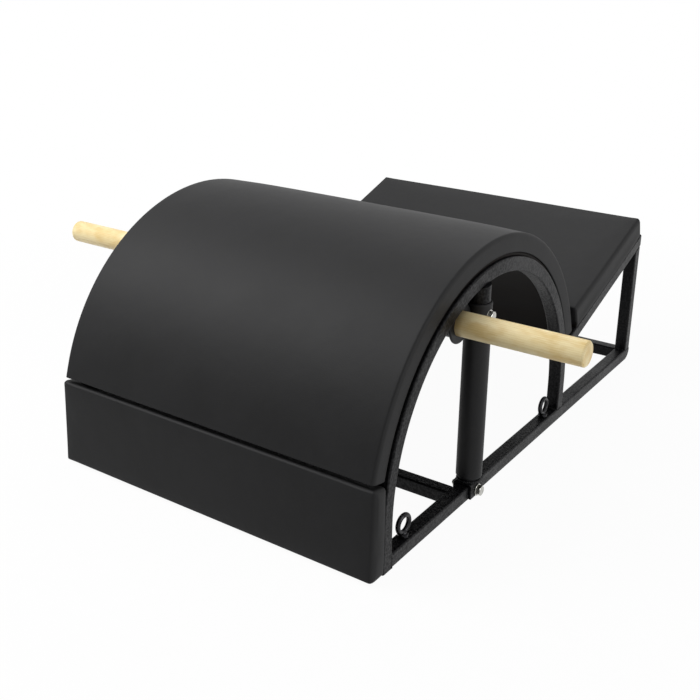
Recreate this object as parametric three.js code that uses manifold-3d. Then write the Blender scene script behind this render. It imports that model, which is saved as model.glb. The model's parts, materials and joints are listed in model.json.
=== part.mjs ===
// Pilates spine corrector: a padded half barrel with an upright front pad and a sloping step pad, on a welded
// frame of black square tube. A round wooden rod runs through two sockets under the arch as a pair of handles.
// Millimetres. X runs from the front pad to the step, Y from the near side to the far side, Z up from the floor.
// Angles about the arch's centre are measured upwards from its front, so 90 is the crown.
import * as THREE from 'three';
import { mergeVertices } from 'three/addons/utils/BufferGeometryUtils.js';
import Module from 'manifold-3d';

const wasm = await Module();
wasm.setup();

// Driving dimensions
const frameLength = 830;
const frameWidth = 520;
const tube = 20;
const tubeCorner = 2.5;
const archSpan = 528;
const archCentreHeight = 63;
const slopeAngle = 18.6;
const slopeStartHeight = 110.8;
const railHeelRadius = 16;
const midRailGap = 8.6;
const frontHighRailDrop = 38;
const seatRailLowU = 48;
const seatRailHighSetback = 50.6;

// Clearances
const seat = 0.3;
const overrun = 5;
const padGap = 4.6;
const padJoint = 1.5;
const padRest = 1;

// Arch pad and its curved board
const archPadInset = 1;
const archPadThickness = 29.1;
const archBoardInset = 4;
const archBoardSetback = 6;

// Upright front pad
const frontPadFace = 32.2;
const frontPadStandOff = 1.2;
const frontPadTop = 130;
const frontPadBottom = 1.5;
const frontBoardThickness = 9;

// Step pad
const seatPadOverhang = 3.5;
const seatPadThickness = 41.5;
const seatPadLift = 1.8;
const seatPadStartU = 37;
const seatPadSetback = 4.5;
const seatBoardThickness = 12;
const boardInset = 3;

// Upholstery form
const padEdge = 4.5;
const seatPadEdge = 6;
const padCorner = 3;
const padDrawIn = 1.2;
const padCrown = 1.2;
const seatPadCrown = 3;
const padSwellShare = 0.6;
const padFadePower = 0.6;
const padEndShares = [0, 0.12, 0.45, 1];

// Posts, their rubber sleeves and foot brackets
const postRadius = 15;
const sleeveWall = 3;
const sleeveBottom = 29;
const sleeveTopDrop = 20.7;
const sleeveRound = 2;
const bracketPlate = 3.5;
const bracketWidth = 36;
const bracketHem = 2;

// Handle rod, bushes and sockets
const rodAngle = 68.54;
const rodRadius = 16.5;
const rodReach = 174;
const rodShift = 15;
const rodChamfer = 2;
const bushWall = 1.5;
const bushRim = 6.6;
const bushFlange = 3.5;
const bushArchGap = 1;
const bushPostGap = 1.6;
const bushLength = 30;
const socketWall = 1.8;
const socketLength = 32;
const socketInset = 10;
const earThickness = 4;
const earHeight = 30;

// Fasteners
const boltRadius = 4;
const boltClearance = 0.4;
const boltHeadFlats = 13;
const boltHeadHeight = 5.3;
const nutHeight = 6.5;
const boltTail = 3;
const washerRadius = 8.5;
const washerThickness = 1.6;
const washerAccess = 0.8;
const screwRadius = 2.4;
const screwHeadRadius = 5;
const screwHeadHeight = 3;
const screwBite = 7;
const archScrewBite = 3;
const archScrewShift = 4;
const screwInset = 70;
const frontScrewHeight = 13;

// Eye rings
const eyeFrontSetback = 40.5;
const eyeRearSetback = 34;
const eyeRingRadius = 11.6;
const eyeWireRadius = 3.3;
const eyeCentreRise = 18;
const eyeCollarRadius = 7;
const eyeCollarHeight = 5;
const eyeShankDepth = 13;
const eyeFrontTurn = 4;

// Worked out from the dimensions above
const rad = THREE.MathUtils.degToRad;
const sideY = (frameWidth - tube) / 2;
const railSpan = frameWidth - 2 * tube - 2 * seat;
const archOuter = archSpan / 2;
const archInner = archOuter - tube;
const archX = archOuter;
const archBoardInner = archOuter + seat;
const archPadInner = archOuter + padGap;
const archPadOuter = archPadInner + archPadThickness;
const archBoardOuter = archPadInner - seat;
const slope = rad(slopeAngle);
const slopeLength = (frameLength - archSpan) / Math.cos(slope);
const archPadWidth = frameWidth - 2 * archPadInset;
const archScrewY = sideY - archScrewShift;
const frontPadWidth = frameWidth;
const frontHighRailHeight = frontPadTop - frontHighRailDrop;
const seatPadWidth = frameWidth + 2 * seatPadOverhang;
const seatPadLength = slopeLength - seatPadStartU - seatPadSetback;
const seatRailHighU = slopeLength - seatRailHighSetback;
const screwPitch = frameWidth - 2 * tube - 2 * screwInset;
const bushFlangeRadius = rodRadius + seat + bushWall + seat + socketWall + bushRim;
const rodDistance = archInner - bushFlangeRadius - bushArchGap;
const rodX = archX - rodDistance * Math.cos(rad(rodAngle));
const rodZ = archCentreHeight + rodDistance * Math.sin(rad(rodAngle));
const rodLength = frameWidth + 2 * rodReach;
const socketFace = frameWidth / 2 - socketInset;
const sleeveRadius = postRadius + sleeveWall;
const postX = rodX + bushFlangeRadius + sleeveRadius + bushPostGap;
const archHeightAbove = (x) => archCentreHeight + Math.sqrt(archInner ** 2 - (archX - x) ** 2);
const sleeveTop = archHeightAbove(postX - sleeveRadius) - sleeveTopDrop;
const midRailX = postX - (bracketWidth + tube) / 2 - midRailGap;
const eyeFrontX = tube + eyeFrontSetback;
const eyeRearX = archSpan - tube - eyeRearSetback;

// Colours and finishes
const finish = (color, roughness, metalness = 0) =>
  new THREE.MeshStandardMaterial({ color, roughness, metalness });
const blackCoat = finish('#262627', 0.45, 0.2);
const zinc = finish('#c9cac8', 0.3, 0.9);
const blackZinc = finish('#3a3b3d', 0.35, 0.8);
const rubber = finish('#1d1d1e', 0.75);
const nylon = finish('#1a1a1b', 0.5);
const vinyl = finish('#2e2e2f', 0.55);
const plywood = finish('#25211e', 0.7);
const beech = finish('#e3cd96', 0.5);

const corrector = new THREE.Group();
corrector.position.x = -midRailX;

// Solids and cuts

function solid(geometry) {
  const bare = geometry.clone();
  bare.deleteAttribute('normal');
  bare.deleteAttribute('uv');
  const merged = mergeVertices(bare);
  return new wasm.Manifold(new wasm.Mesh({
    numProp: 3,
    vertProperties: new Float32Array(merged.attributes.position.array),
    triVerts: new Uint32Array(merged.index.array),
  }));
}

function geometryOf(manifold) {
  const mesh = manifold.getMesh();
  const geometry = new THREE.BufferGeometry();
  geometry.setAttribute('position', new THREE.BufferAttribute(new Float32Array(mesh.vertProperties), 3));
  geometry.setIndex(new THREE.BufferAttribute(new Uint32Array(mesh.triVerts), 1));
  return geometry;
}

function cut(geometry, ...tools) {
  return geometryOf(tools.reduce((body, tool) => body.subtract(solid(tool)), solid(geometry)));
}

function join(geometry, ...others) {
  return geometryOf(others.reduce((body, other) => body.add(solid(other)), solid(geometry)));
}

function trim(geometry, tool) {
  return geometryOf(solid(geometry).intersect(solid(tool)));
}

// Turns a closed geometry's faces outwards by the sign of its volume.
function outward(geometry) {
  const flat = geometry.index ? geometry.toNonIndexed() : geometry;
  const p = flat.attributes.position;
  const [a, b, c] = [new THREE.Vector3(), new THREE.Vector3(), new THREE.Vector3()];
  let volume = 0;
  for (let i = 0; i < p.count; i += 3) {
    a.fromBufferAttribute(p, i);
    b.fromBufferAttribute(p, i + 1);
    c.fromBufferAttribute(p, i + 2);
    volume += a.dot(b.cross(c));
  }
  if (volume >= 0) return geometry;
  const turned = new Float32Array(p.array.length);
  for (let i = 0; i < p.count; i += 3) {
    [0, 2, 1].forEach((from, to) => {
      a.fromBufferAttribute(p, i + from).toArray(turned, (i + to) * 3);
    });
  }
  const result = new THREE.BufferGeometry();
  result.setAttribute('position', new THREE.BufferAttribute(turned, 3));
  return mergeVertices(result);
}

function mirrored(geometry) {
  return outward(geometry.clone().applyMatrix4(new THREE.Matrix4().makeScale(1, -1, 1)));
}

// Shapes

const extruded = (shape, depth, curveSegments = 8) =>
  new THREE.ExtrudeGeometry(shape, { depth, bevelEnabled: false, curveSegments });

// An outline drawn in X and Z, carried along Y and centred on it.
const acrossY = (shape, width, curveSegments) =>
  extruded(shape, width, curveSegments).rotateX(Math.PI / 2).translate(0, width / 2, 0);

// An outline drawn in Y and Z, carried along X from zero.
const alongX = (shape, length, curveSegments) =>
  extruded(shape, length, curveSegments).applyMatrix4(new THREE.Matrix4().makeBasis(
    new THREE.Vector3(0, 1, 0), new THREE.Vector3(0, 0, 1), new THREE.Vector3(1, 0, 0)));

const outline = (points) => new THREE.Shape(points.map(([x, y]) => new THREE.Vector2(x, y)));

function tubeSection() {
  const h = tube / 2;
  const c = h - tubeCorner;
  const shape = new THREE.Shape();
  shape.absarc(c, c, tubeCorner, 0, Math.PI / 2);
  shape.absarc(-c, c, tubeCorner, Math.PI / 2, Math.PI);
  shape.absarc(-c, -c, tubeCorner, Math.PI, 1.5 * Math.PI);
  shape.absarc(c, -c, tubeCorner, 1.5 * Math.PI, 2 * Math.PI);
  shape.closePath();
  return shape;
}

// Square tube along X from zero, centred on Y and Z.
const bar = (length) => alongX(tubeSection(), length, 1);

// Square tube across the frame, centred on the origin.
const crossBar = (length) => bar(length).translate(-length / 2, 0, 0).rotateZ(Math.PI / 2);

// A plain round bar along Y, centred on the origin.
const round = (radius, length, sides = 24) => new THREE.CylinderGeometry(radius, radius, length, sides);

const lathed = (points, sides = 24) =>
  outward(new THREE.LatheGeometry(points.map(([r, y]) => new THREE.Vector2(r, y)), sides));

function hexagon(flats) {
  const corner = flats / Math.sqrt(3);
  const points = [0, 1, 2, 3, 4, 5].map((i) => [
    corner * Math.cos(i * Math.PI / 3), corner * Math.sin(i * Math.PI / 3)]);
  return outline(points);
}

function withHole(shape, radius) {
  const hole = new THREE.Path();
  hole.absarc(0, 0, radius, 0, 2 * Math.PI);
  shape.holes.push(hole);
  return shape;
}

// Joins loops of points, each with the same count, into one closed skin with flat ends.
function loft(loops) {
  const count = loops[0].length;
  const positions = loops.flat().flatMap((point) => point.toArray());
  const index = [];
  for (let ring = 0; ring < loops.length - 1; ring += 1) {
    for (let i = 0; i < count; i += 1) {
      const a = ring * count + i;
      const b = ring * count + (i + 1) % count;
      index.push(a, b, b + count, a, b + count, a + count);
    }
  }
  const last = (loops.length - 1) * count;
  for (let i = 1; i < count - 1; i += 1) {
    index.push(0, i + 1, i, last, last + i, last + i + 1);
  }
  const geometry = new THREE.BufferGeometry();
  geometry.setAttribute('position', new THREE.Float32BufferAttribute(positions, 3));
  geometry.setIndex(index);
  return outward(geometry);
}

// A padded cushion on a flat back. Sections along its length have sides that swell at mid height and draw in at
// the back, rounded top edges, and a face whose crown fades to nothing at the edges. `place` bends the section's
// length u, width v and height w into the pad's own space.
function cushion({ length, width, thickness, edge, crown, steps, place }) {
  const edgeSteps = 3;
  const faceSteps = 6;
  const ends = padEndShares.map((share) => share * edge);
  const inner = Array.from({ length: steps - 1 }, (_, i) => edge + (length - 2 * edge) * (i + 1) / steps);
  const stations = [...ends, ...inner, ...ends.map((d) => length - d).reverse()];
  const loops = stations.map((u) => {
    const d = Math.min(u, length - u);
    const drop = d < edge ? edge - Math.sqrt(edge * edge - (edge - d) ** 2) : 0;
    const nip = d < padCorner ? padCorner - Math.sqrt(padCorner ** 2 - (padCorner - d) ** 2) : 0;
    const half = width / 2 - nip;
    const rim = thickness - crown - drop;
    const right = [[half - padDrawIn, 0], [half, (rim - edge) * padSwellShare]];
    for (let i = 0; i <= edgeSteps; i += 1) {
      const turn = i / edgeSteps * Math.PI / 2;
      right.push([half - edge * (1 - Math.cos(turn)), rim - edge * (1 - Math.sin(turn))]);
    }
    const face = [];
    const fade = Math.sin(Math.PI * Math.min(1, Math.max(0, u / length))) ** padFadePower;
    for (let i = 1; i < faceSteps; i += 1) {
      const v = (half - edge) * (1 - 2 * i / faceSteps);
      face.push([v, rim + crown * fade * (1 - (v / (half - edge)) ** 2)]);
    }
    const left = right.map(([v, w]) => [-v, w]).reverse();
    return [...right, ...face, ...left].map(([v, w]) => place(u, v, w));
  });
  return loft(loops);
}

// Adding pieces to the model

function add(name, geometry, material, x = 0, y = 0, z = 0, parent = corrector) {
  const mesh = new THREE.Mesh(geometry, material);
  mesh.name = name;
  mesh.position.set(x, y, z);
  parent.add(mesh);
}

// A piece modelled for the near side, and its mirror image on the far side.
function addPair(name, geometry, material, x, y, z, parent) {
  add(`${name}_near`, geometry, material, x, -y, z, parent);
  add(`${name}_far`, mirrored(geometry), material, x, y, z, parent);
}

// Frame

class ArchLine extends THREE.Curve {
  constructor() {
    super();
    this.radius = archOuter - tube / 2;
    this.frontLeg = archCentreHeight;
    this.arc = Math.PI * this.radius;
    this.rearLeg = archCentreHeight - tube - seat;
    this.arcLengthDivisions = 900;
  }

  getPoint(t, target = new THREE.Vector3()) {
    const s = t * (this.frontLeg + this.arc + this.rearLeg);
    if (s <= this.frontLeg) return target.set(tube / 2, 0, s);
    const along = s - this.frontLeg;
    if (along >= this.arc) {
      return target.set(archSpan - tube / 2, 0, archCentreHeight - (along - this.arc));
    }
    const turn = along / this.radius;
    return target.set(archX - this.radius * Math.cos(turn), 0, archCentreHeight + this.radius * Math.sin(turn));
  }
}

// The bolt holes through the arch tubes point at the arch's centre.
const archScrewAngles = [50, 105];
const radial = (geometry, angle, radius) => geometry
  .rotateZ(Math.PI / 2)
  .rotateY(rad(angle))
  .translate(archX - radius * Math.cos(rad(angle)), 0, archCentreHeight + radius * Math.sin(rad(angle)));

function archTube() {
  const bent = outward(new THREE.ExtrudeGeometry(tubeSection(), {
    extrudePath: new ArchLine(), steps: 44, bevelEnabled: false, curveSegments: 1,
  }));
  const holes = archScrewAngles.map((angle) =>
    radial(round(screwRadius + seat, tube + 2 * overrun, 12), angle, (archInner + archOuter) / 2)
      .translate(0, archScrewShift, 0));
  return cut(bent, ...holes);
}

function baseRail() {
  const length = frameLength - tube - seat;
  const heel = new THREE.Shape();
  heel.moveTo(0, tube);
  heel.lineTo(0, 0);
  heel.lineTo(length - railHeelRadius, 0);
  heel.absarc(length - railHeelRadius, railHeelRadius, railHeelRadius, -Math.PI / 2, 0);
  heel.lineTo(length, tube);
  heel.closePath();
  const rail = trim(bar(length).translate(0, 0, tube / 2), acrossY(heel, tube + 2 * overrun, 6));
  const start = tube + seat;
  const boltHole = round(boltRadius + boltClearance, tube + 2 * overrun, 16)
    .translate(postX - start, 0, tube / 2);
  const eyeHoles = [eyeFrontX, eyeRearX].map((x) => {
    const depth = eyeShankDepth + seat;
    return round(boltRadius + boltClearance, depth + overrun, 16).rotateX(Math.PI / 2)
      .translate(x - start, 0, tube - depth + (depth + overrun) / 2);
  });
  return cut(rail, boltHole, ...eyeHoles);
}

// Space above the slope, in the frame's own axes, used to cut the rear posts to the slope.
function aboveSlope(lift) {
  const size = 2 * frameLength;
  return new THREE.BoxGeometry(size, size, size).translate(0, 0, size / 2 + lift)
    .rotateY(-slope).translate(archSpan, 0, slopeStartHeight);
}

function rearPost() {
  const foot = tube + seat;
  const post = bar(frameLength / 2).rotateY(-Math.PI / 2).translate(frameLength - tube / 2, 0, foot);
  return cut(post, aboveSlope(-seat)).translate(-(frameLength - tube / 2), 0, -foot);
}

function frameTubes() {
  addPair('arch_tube', archTube(), blackCoat, 0, sideY, 0);
  addPair('base_rail', baseRail(), blackCoat, tube + seat, sideY, 0);
  addPair('rear_post', rearPost(), blackCoat, frameLength - tube / 2, sideY, tube + seat);
  const screwHole = (z) => [-1, 1].map((side) =>
    round(screwRadius + seat, tube + 2 * overrun, 12).rotateZ(Math.PI / 2)
      .translate(0, side * screwPitch / 2, z));
  const low = cut(crossBar(railSpan), ...screwHole(frontScrewHeight - tube / 2));
  const high = cut(crossBar(railSpan), ...screwHole(0));
  add('cross_rail_front', low, blackCoat, tube / 2, 0, tube / 2);
  add('cross_rail_front_high', high, blackCoat, tube / 2, 0, frontHighRailHeight + tube / 2);
  add('cross_rail_mid', crossBar(railSpan), blackCoat, midRailX, 0, tube / 2);
  add('cross_rail_rear', crossBar(railSpan), blackCoat, frameLength - tube / 2, 0, tube / 2);
}

// Step: rails on the slope, the board and its pad. Its group's X runs up the slope and its Z stands square to it.

function stepPart() {
  const step = new THREE.Group();
  step.position.set(archSpan, 0, slopeStartHeight);
  step.rotation.y = -slope;
  corrector.add(step);

  const run = frameLength - archSpan + tube;
  const upright = new THREE.BoxGeometry(run, 2 * tube, 2 * frameLength)
    .translate(run / 2 - tube, 0, 0).rotateY(slope);
  const arch = round(archOuter + seat, 2 * tube, 180)
    .translate(archX - archSpan, 0, archCentreHeight - slopeStartHeight).rotateY(slope);
  const rail = trim(bar(slopeLength + 4 * tube).translate(-2 * tube, 0, tube / 2), upright);
  addPair('slope_rail', cut(rail, arch), blackCoat, 0, sideY, 0, step);

  const screws = [];
  const pilot = (u, v) => round(screwRadius + seat, tube + 2 * overrun, 12).rotateX(Math.PI / 2)
    .translate(u, v, tube / 2);
  [['low', seatRailLowU], ['high', seatRailHighU]].forEach(([label, start]) => {
    const spots = [-1, 1].map((side) => [start + tube / 2, side * screwPitch / 2]);
    const crossRail = cut(crossBar(railSpan), ...spots.map(([, v]) => pilot(0, v).translate(0, 0, -tube / 2)));
    add(`cross_rail_seat_${label}`, crossRail, blackCoat, start + tube / 2, 0, tube / 2, step);
    screws.push(...spots);
  });

  const boardStart = seatPadStartU + boardInset;
  const boardLength = seatPadLength - 2 * boardInset;
  const boardWidth = seatPadWidth - 2 * (boardInset + padDrawIn);
  const boardZ = tube + seat;
  const board = new THREE.BoxGeometry(boardLength, boardWidth, seatBoardThickness)
    .translate(boardStart + boardLength / 2, 0, boardZ + seatBoardThickness / 2);
  const biteTop = boardZ + screwBite;
  const holes = screws.map(([u, v]) => round(screwRadius + seat, screwBite + seat + overrun, 12)
    .rotateX(Math.PI / 2).translate(u, v, biteTop + seat - (screwBite + seat + overrun) / 2));
  const pad = cushion({
    length: seatPadLength, width: seatPadWidth, thickness: seatPadThickness,
    edge: seatPadEdge, crown: seatPadCrown, steps: 10,
    place: (u, v, w) => new THREE.Vector3(seatPadStartU + u, v, boardZ + seatPadLift + w),
  });
  const pocketTop = boardZ + seatBoardThickness + seat;
  const pocket = new THREE.BoxGeometry(boardLength + 2 * seat, boardWidth + 2 * seat, pocketTop)
    .translate(boardStart + boardLength / 2, 0, pocketTop / 2);
  add('seat_board', cut(board, ...holes), plywood, 0, 0, 0, step);
  add('seat_pad', cut(pad, pocket), vinyl, 0, 0, 0, step);
  screws.forEach(([u, v], i) => {
    const length = tube + seat + screwBite + seat;
    add(`seat_screw_${i + 1}`, screw(length).rotateX(Math.PI / 2), blackZinc, u, v, -seat, step);
  });
}

// A pan-head screw along +Y with the underside of its head at the origin.
function screw(length) {
  const rim = screwHeadHeight / 2;
  return lathed([[0, -screwHeadHeight], [screwHeadRadius - rim, -screwHeadHeight], [screwHeadRadius, -rim],
    [screwHeadRadius, 0], [screwRadius, 0], [screwRadius, length - screwRadius], [0, length]], 12);
}

// Arch board and pad

// The angle at which a radial end at this radius clears the top of the slope rails.
function rearClearAngle(radius, clearance) {
  const rise = (archSpan - archX) * Math.sin(slope) + (archCentreHeight - slopeStartHeight) * Math.cos(slope);
  return Math.PI - slope - Math.asin((tube + clearance - rise) / radius);
}

function archParts() {
  const frontTopAngle = Math.atan2(frontPadTop - archCentreHeight, archX + frontPadFace);
  const padStart = frontTopAngle + padJoint / archPadOuter;
  const padEnd = rearClearAngle(archPadOuter, padRest);
  const boardStart = padStart + archBoardSetback / archPadOuter;
  const boardEnd = rearClearAngle(archBoardOuter, padRest) - archBoardSetback / archPadOuter;
  const length = archPadOuter * (padEnd - padStart);
  const pad = cushion({
    length, width: archPadWidth, thickness: archPadThickness, edge: padEdge, crown: padCrown, steps: 42,
    place: (u, v, w) => {
      const angle = padStart + (padEnd - padStart) * u / length;
      const radius = archPadInner + w;
      return new THREE.Vector3(archX - radius * Math.cos(angle), v, archCentreHeight + radius * Math.sin(angle));
    },
  });
  add('arch_pad', pad, vinyl);

  const sector = new THREE.Shape();
  sector.absarc(0, 0, archBoardOuter, Math.PI - boardStart, Math.PI - boardEnd, true);
  sector.absarc(0, 0, archBoardInner, Math.PI - boardEnd, Math.PI - boardStart, false);
  sector.closePath();
  const board = acrossY(sector, archPadWidth - 2 * archBoardInset, 20).translate(archX, 0, archCentreHeight);
  const bite = archScrewBite + seat;
  const holes = archScrewAngles.flatMap((angle) => [-1, 1].map((side) =>
    radial(round(screwRadius + seat, bite + overrun, 12), angle, archOuter + seat + bite - (bite + overrun) / 2)
      .translate(0, side * archScrewY, 0)));
  add('arch_board', cut(board, ...holes), plywood);
  archScrewAngles.forEach((angle, i) => {
    const geometry = radial(screw(tube + seat + archScrewBite), angle, archInner - seat);
    add(`arch_screw_near_${i + 1}`, geometry, blackZinc, 0, -archScrewY, 0);
    add(`arch_screw_far_${i + 1}`, geometry.clone(), blackZinc, 0, archScrewY, 0);
  });
}

// Front board and pad, built lying on its back and stood up: u is height, w is depth towards the front.

function frontParts() {
  const height = frontPadTop - frontPadBottom;
  const thickness = frontPadFace - frontPadStandOff;
  const lean = (frontPadTop - archCentreHeight) / (archX + frontPadFace) / height;
  const pad = cushion({
    length: height, width: frontPadWidth, thickness, edge: padEdge, crown: padCrown, steps: 7,
    place: (u, v, w) => new THREE.Vector3(
      -frontPadStandOff - w, v, frontPadBottom + u * (1 - (thickness - w) * lean)),
  });
  const boardTop = frontPadBottom + height * (1 - thickness * lean) - boardInset - padDrawIn;
  const boardLow = frontPadBottom + boardInset;
  const boardWidth = frontPadWidth - 2 * (boardInset + padDrawIn);
  const place = (geometry) => geometry.translate(0, 0, (boardTop + boardLow) / 2);
  const board = place(new THREE.BoxGeometry(frontBoardThickness, boardWidth, boardTop - boardLow))
    .translate(-seat - frontBoardThickness / 2, 0, 0);
  const pocketDepth = frontBoardThickness + 2 * seat;
  const pocket = place(new THREE.BoxGeometry(pocketDepth, boardWidth + 2 * seat, boardTop - boardLow + 2 * seat))
    .translate(-pocketDepth / 2, 0, 0);
  const spots = [frontScrewHeight, frontHighRailHeight + tube / 2].flatMap((z) =>
    [-1, 1].map((side) => [side * screwPitch / 2, z]));
  const holeDepth = screwBite + seat + overrun;
  const holes = spots.map(([y, z]) => round(screwRadius + seat, holeDepth, 12).rotateZ(Math.PI / 2)
    .translate(-seat - screwBite - seat + holeDepth / 2, y, z));
  add('front_pad', cut(pad, pocket), vinyl);
  add('front_board', cut(board, ...holes), plywood);
  spots.forEach(([y, z], i) => {
    const length = tube + seat + seat + screwBite;
    add(`front_screw_${i + 1}`, screw(length).rotateZ(Math.PI / 2), blackZinc, tube + seat, y, z);
  });
}

// Posts with their sleeves, foot brackets and bolts

// A hexagon bolt along +Y with the underside of its head at the origin.
function hexBolt(length) {
  const head = extruded(hexagon(boltHeadFlats), boltHeadHeight).rotateX(Math.PI / 2);
  const shank = round(boltRadius, length + boltHeadHeight / 2, 16)
    .translate(0, (length - boltHeadHeight / 2) / 2, 0);
  return join(head, shank);
}

// Rings along Y with their outer face at the origin, reaching towards +Y.
const ringAlongY = (shape, thickness, segments) =>
  extruded(shape, thickness, segments).rotateX(Math.PI / 2).translate(0, thickness, 0);

function washer() {
  const disc = new THREE.Shape();
  disc.absarc(0, 0, washerRadius, 0, 2 * Math.PI);
  return ringAlongY(withHole(disc, boltRadius + boltClearance), washerThickness, 6);
}

const nut = () => ringAlongY(withHole(hexagon(boltHeadFlats), boltRadius + boltClearance), nutHeight, 6);

function boltSet(name, x, z, outerFace, innerFace) {
  const washerFace = outerFace + seat + washerThickness;
  const headFace = washerFace + seat;
  const reach = headFace - innerFace + seat + nutHeight + boltTail;
  addPair(`${name}_washer`, washer(), zinc, x, washerFace, z);
  addPair(`${name}_bolt`, hexBolt(reach), zinc, x, headFace, z);
  addPair(`${name}_nut`, nut(), zinc, x, innerFace - seat, z);
}

function posts() {
  const bottom = tube + seat + bracketPlate + seat;
  const height = archCentreHeight + archInner - bottom;
  const across = round(boltRadius + boltClearance, 4 * sleeveRadius, 16).translate(0, 0, rodZ - bottom);
  const core = trim(
    round(postRadius, height).rotateX(Math.PI / 2).translate(0, 0, height / 2),
    round(archInner - seat, 4 * sleeveRadius, 180).translate(archX - postX, 0, archCentreHeight - bottom),
  );
  addPair('post_core', cut(core, across), blackCoat, postX, sideY, bottom);

  const bore = postRadius + seat;
  const nose = (sleeveRadius - bore) / 2;
  const high = sleeveTop - sleeveBottom;
  const sleeve = lathed([[bore, nose / 2], [bore + nose / 2, 0], [sleeveRadius - nose / 2, 0],
    [sleeveRadius, sleeveRound], [sleeveRadius, high - nose / 2], [sleeveRadius - nose / 2, high], [bore, high],
    [bore, nose / 2]]).rotateX(Math.PI / 2);
  const access = round(washerRadius + washerAccess, 2 * sleeveRadius, 20).translate(0, -sleeveRadius, 0);
  const hole = round(boltRadius + boltClearance, 4 * sleeveRadius, 16);
  const drilled = cut(sleeve, access.translate(0, 0, rodZ - sleeveBottom), hole.translate(0, 0, rodZ - sleeveBottom));
  addPair('post_sleeve', drilled, rubber, postX, sideY, sleeveBottom);

  const inside = tube / 2 + seat;
  const outside = inside + bracketPlate;
  const crown = tube + seat;
  const saddle = outline([[-outside, bracketHem], [-inside, bracketHem], [-inside, crown], [inside, crown],
    [inside, bracketHem], [outside, bracketHem], [outside, crown + bracketPlate],
    [-outside, crown + bracketPlate]]);
  const bracket = alongX(saddle, bracketWidth).translate(-bracketWidth / 2, 0, 0);
  const bracketHole = round(boltRadius + boltClearance, 4 * tube, 16).translate(0, 0, tube / 2);
  addPair('foot_bracket', cut(bracket, bracketHole), blackCoat, postX, sideY, 0);

  boltSet('foot', postX, tube / 2, sideY + outside, sideY - outside);
  boltSet('socket', postX, rodZ, sideY + postRadius, sideY - sleeveRadius - seat - earThickness);
}

// Handle rod, flanged bushes and sockets. A socket's ear passes behind the post, where its bolt holds it.

function handles() {
  const bore = rodRadius + seat;
  const bushRadius = bore + bushWall;
  const bush = lathed([[bore, 0], [bushFlangeRadius - bushFlange / 3, 0], [bushFlangeRadius, bushFlange / 3],
    [bushFlangeRadius, bushFlange], [bushRadius, bushFlange], [bushRadius, bushLength], [bore, bushLength],
    [bore, 0]], 28);
  addPair('handle_bush', bush, nylon, rodX, socketFace, rodZ);

  const socketBore = bushRadius + seat;
  const start = bushFlange + seat;
  const pipe = lathed([[socketBore, start], [socketBore + socketWall, start],
    [socketBore + socketWall, start + socketLength], [socketBore, start + socketLength],
    [socketBore, start]], 28);
  const earStart = socketFace - sideY + sleeveRadius + seat;
  const earShape = new THREE.Shape();
  earShape.moveTo(socketBore + socketWall / 2, -earHeight / 2);
  earShape.absarc(postX - rodX, 0, earHeight / 2, -Math.PI / 2, Math.PI / 2);
  earShape.lineTo(socketBore + socketWall / 2, earHeight / 2);
  earShape.closePath();
  const ear = acrossY(earShape, earThickness, 5).translate(0, earStart + earThickness / 2, 0);
  const root = new THREE.BoxGeometry(socketWall, earThickness, earHeight)
    .translate(socketBore + socketWall / 2, earStart + earThickness / 2, 0);
  const opening = round(socketBore, 2 * socketLength, 28).translate(0, socketLength, 0);
  const hole = round(boltRadius + boltClearance, 4 * earThickness, 16)
    .translate(postX - rodX, earStart + earThickness / 2, 0);
  addPair('handle_socket', cut(join(pipe, ear, root), opening, hole), blackCoat, rodX, socketFace, rodZ);

  const half = rodLength / 2;
  const rod = lathed([[0, -half], [rodRadius - rodChamfer, -half], [rodRadius, rodChamfer - half],
    [rodRadius, half - rodChamfer], [rodRadius - rodChamfer, half], [0, half]], 28);
  add('handle_rod', rod, beech, rodX, rodShift, rodZ);
}

// Eye rings screwed down into the base rails

function eyeRings() {
  const ring = new THREE.TorusGeometry(eyeRingRadius, eyeWireRadius, 7, 20).rotateX(Math.PI / 2)
    .translate(0, 0, eyeCentreRise);
  const collar = round(eyeCollarRadius, eyeCollarHeight - seat, 16).rotateX(Math.PI / 2)
    .translate(0, 0, (eyeCollarHeight + seat) / 2);
  const shank = round(boltRadius, eyeShankDepth + eyeCollarHeight / 2, 12).rotateX(Math.PI / 2)
    .translate(0, 0, (eyeCollarHeight / 2 - eyeShankDepth) / 2);
  const eye = join(outward(ring), collar, shank);
  addPair('eye_ring_front', eye.clone().rotateZ(-rad(eyeFrontTurn)), blackZinc, eyeFrontX, sideY, tube);
  addPair('eye_ring_rear', eye, blackZinc, eyeRearX, sideY, tube);
}

frameTubes();
stepPart();
archParts();
frontParts();
posts();
handles();
eyeRings();

export default corrector;
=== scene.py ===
import json
import math

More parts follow.
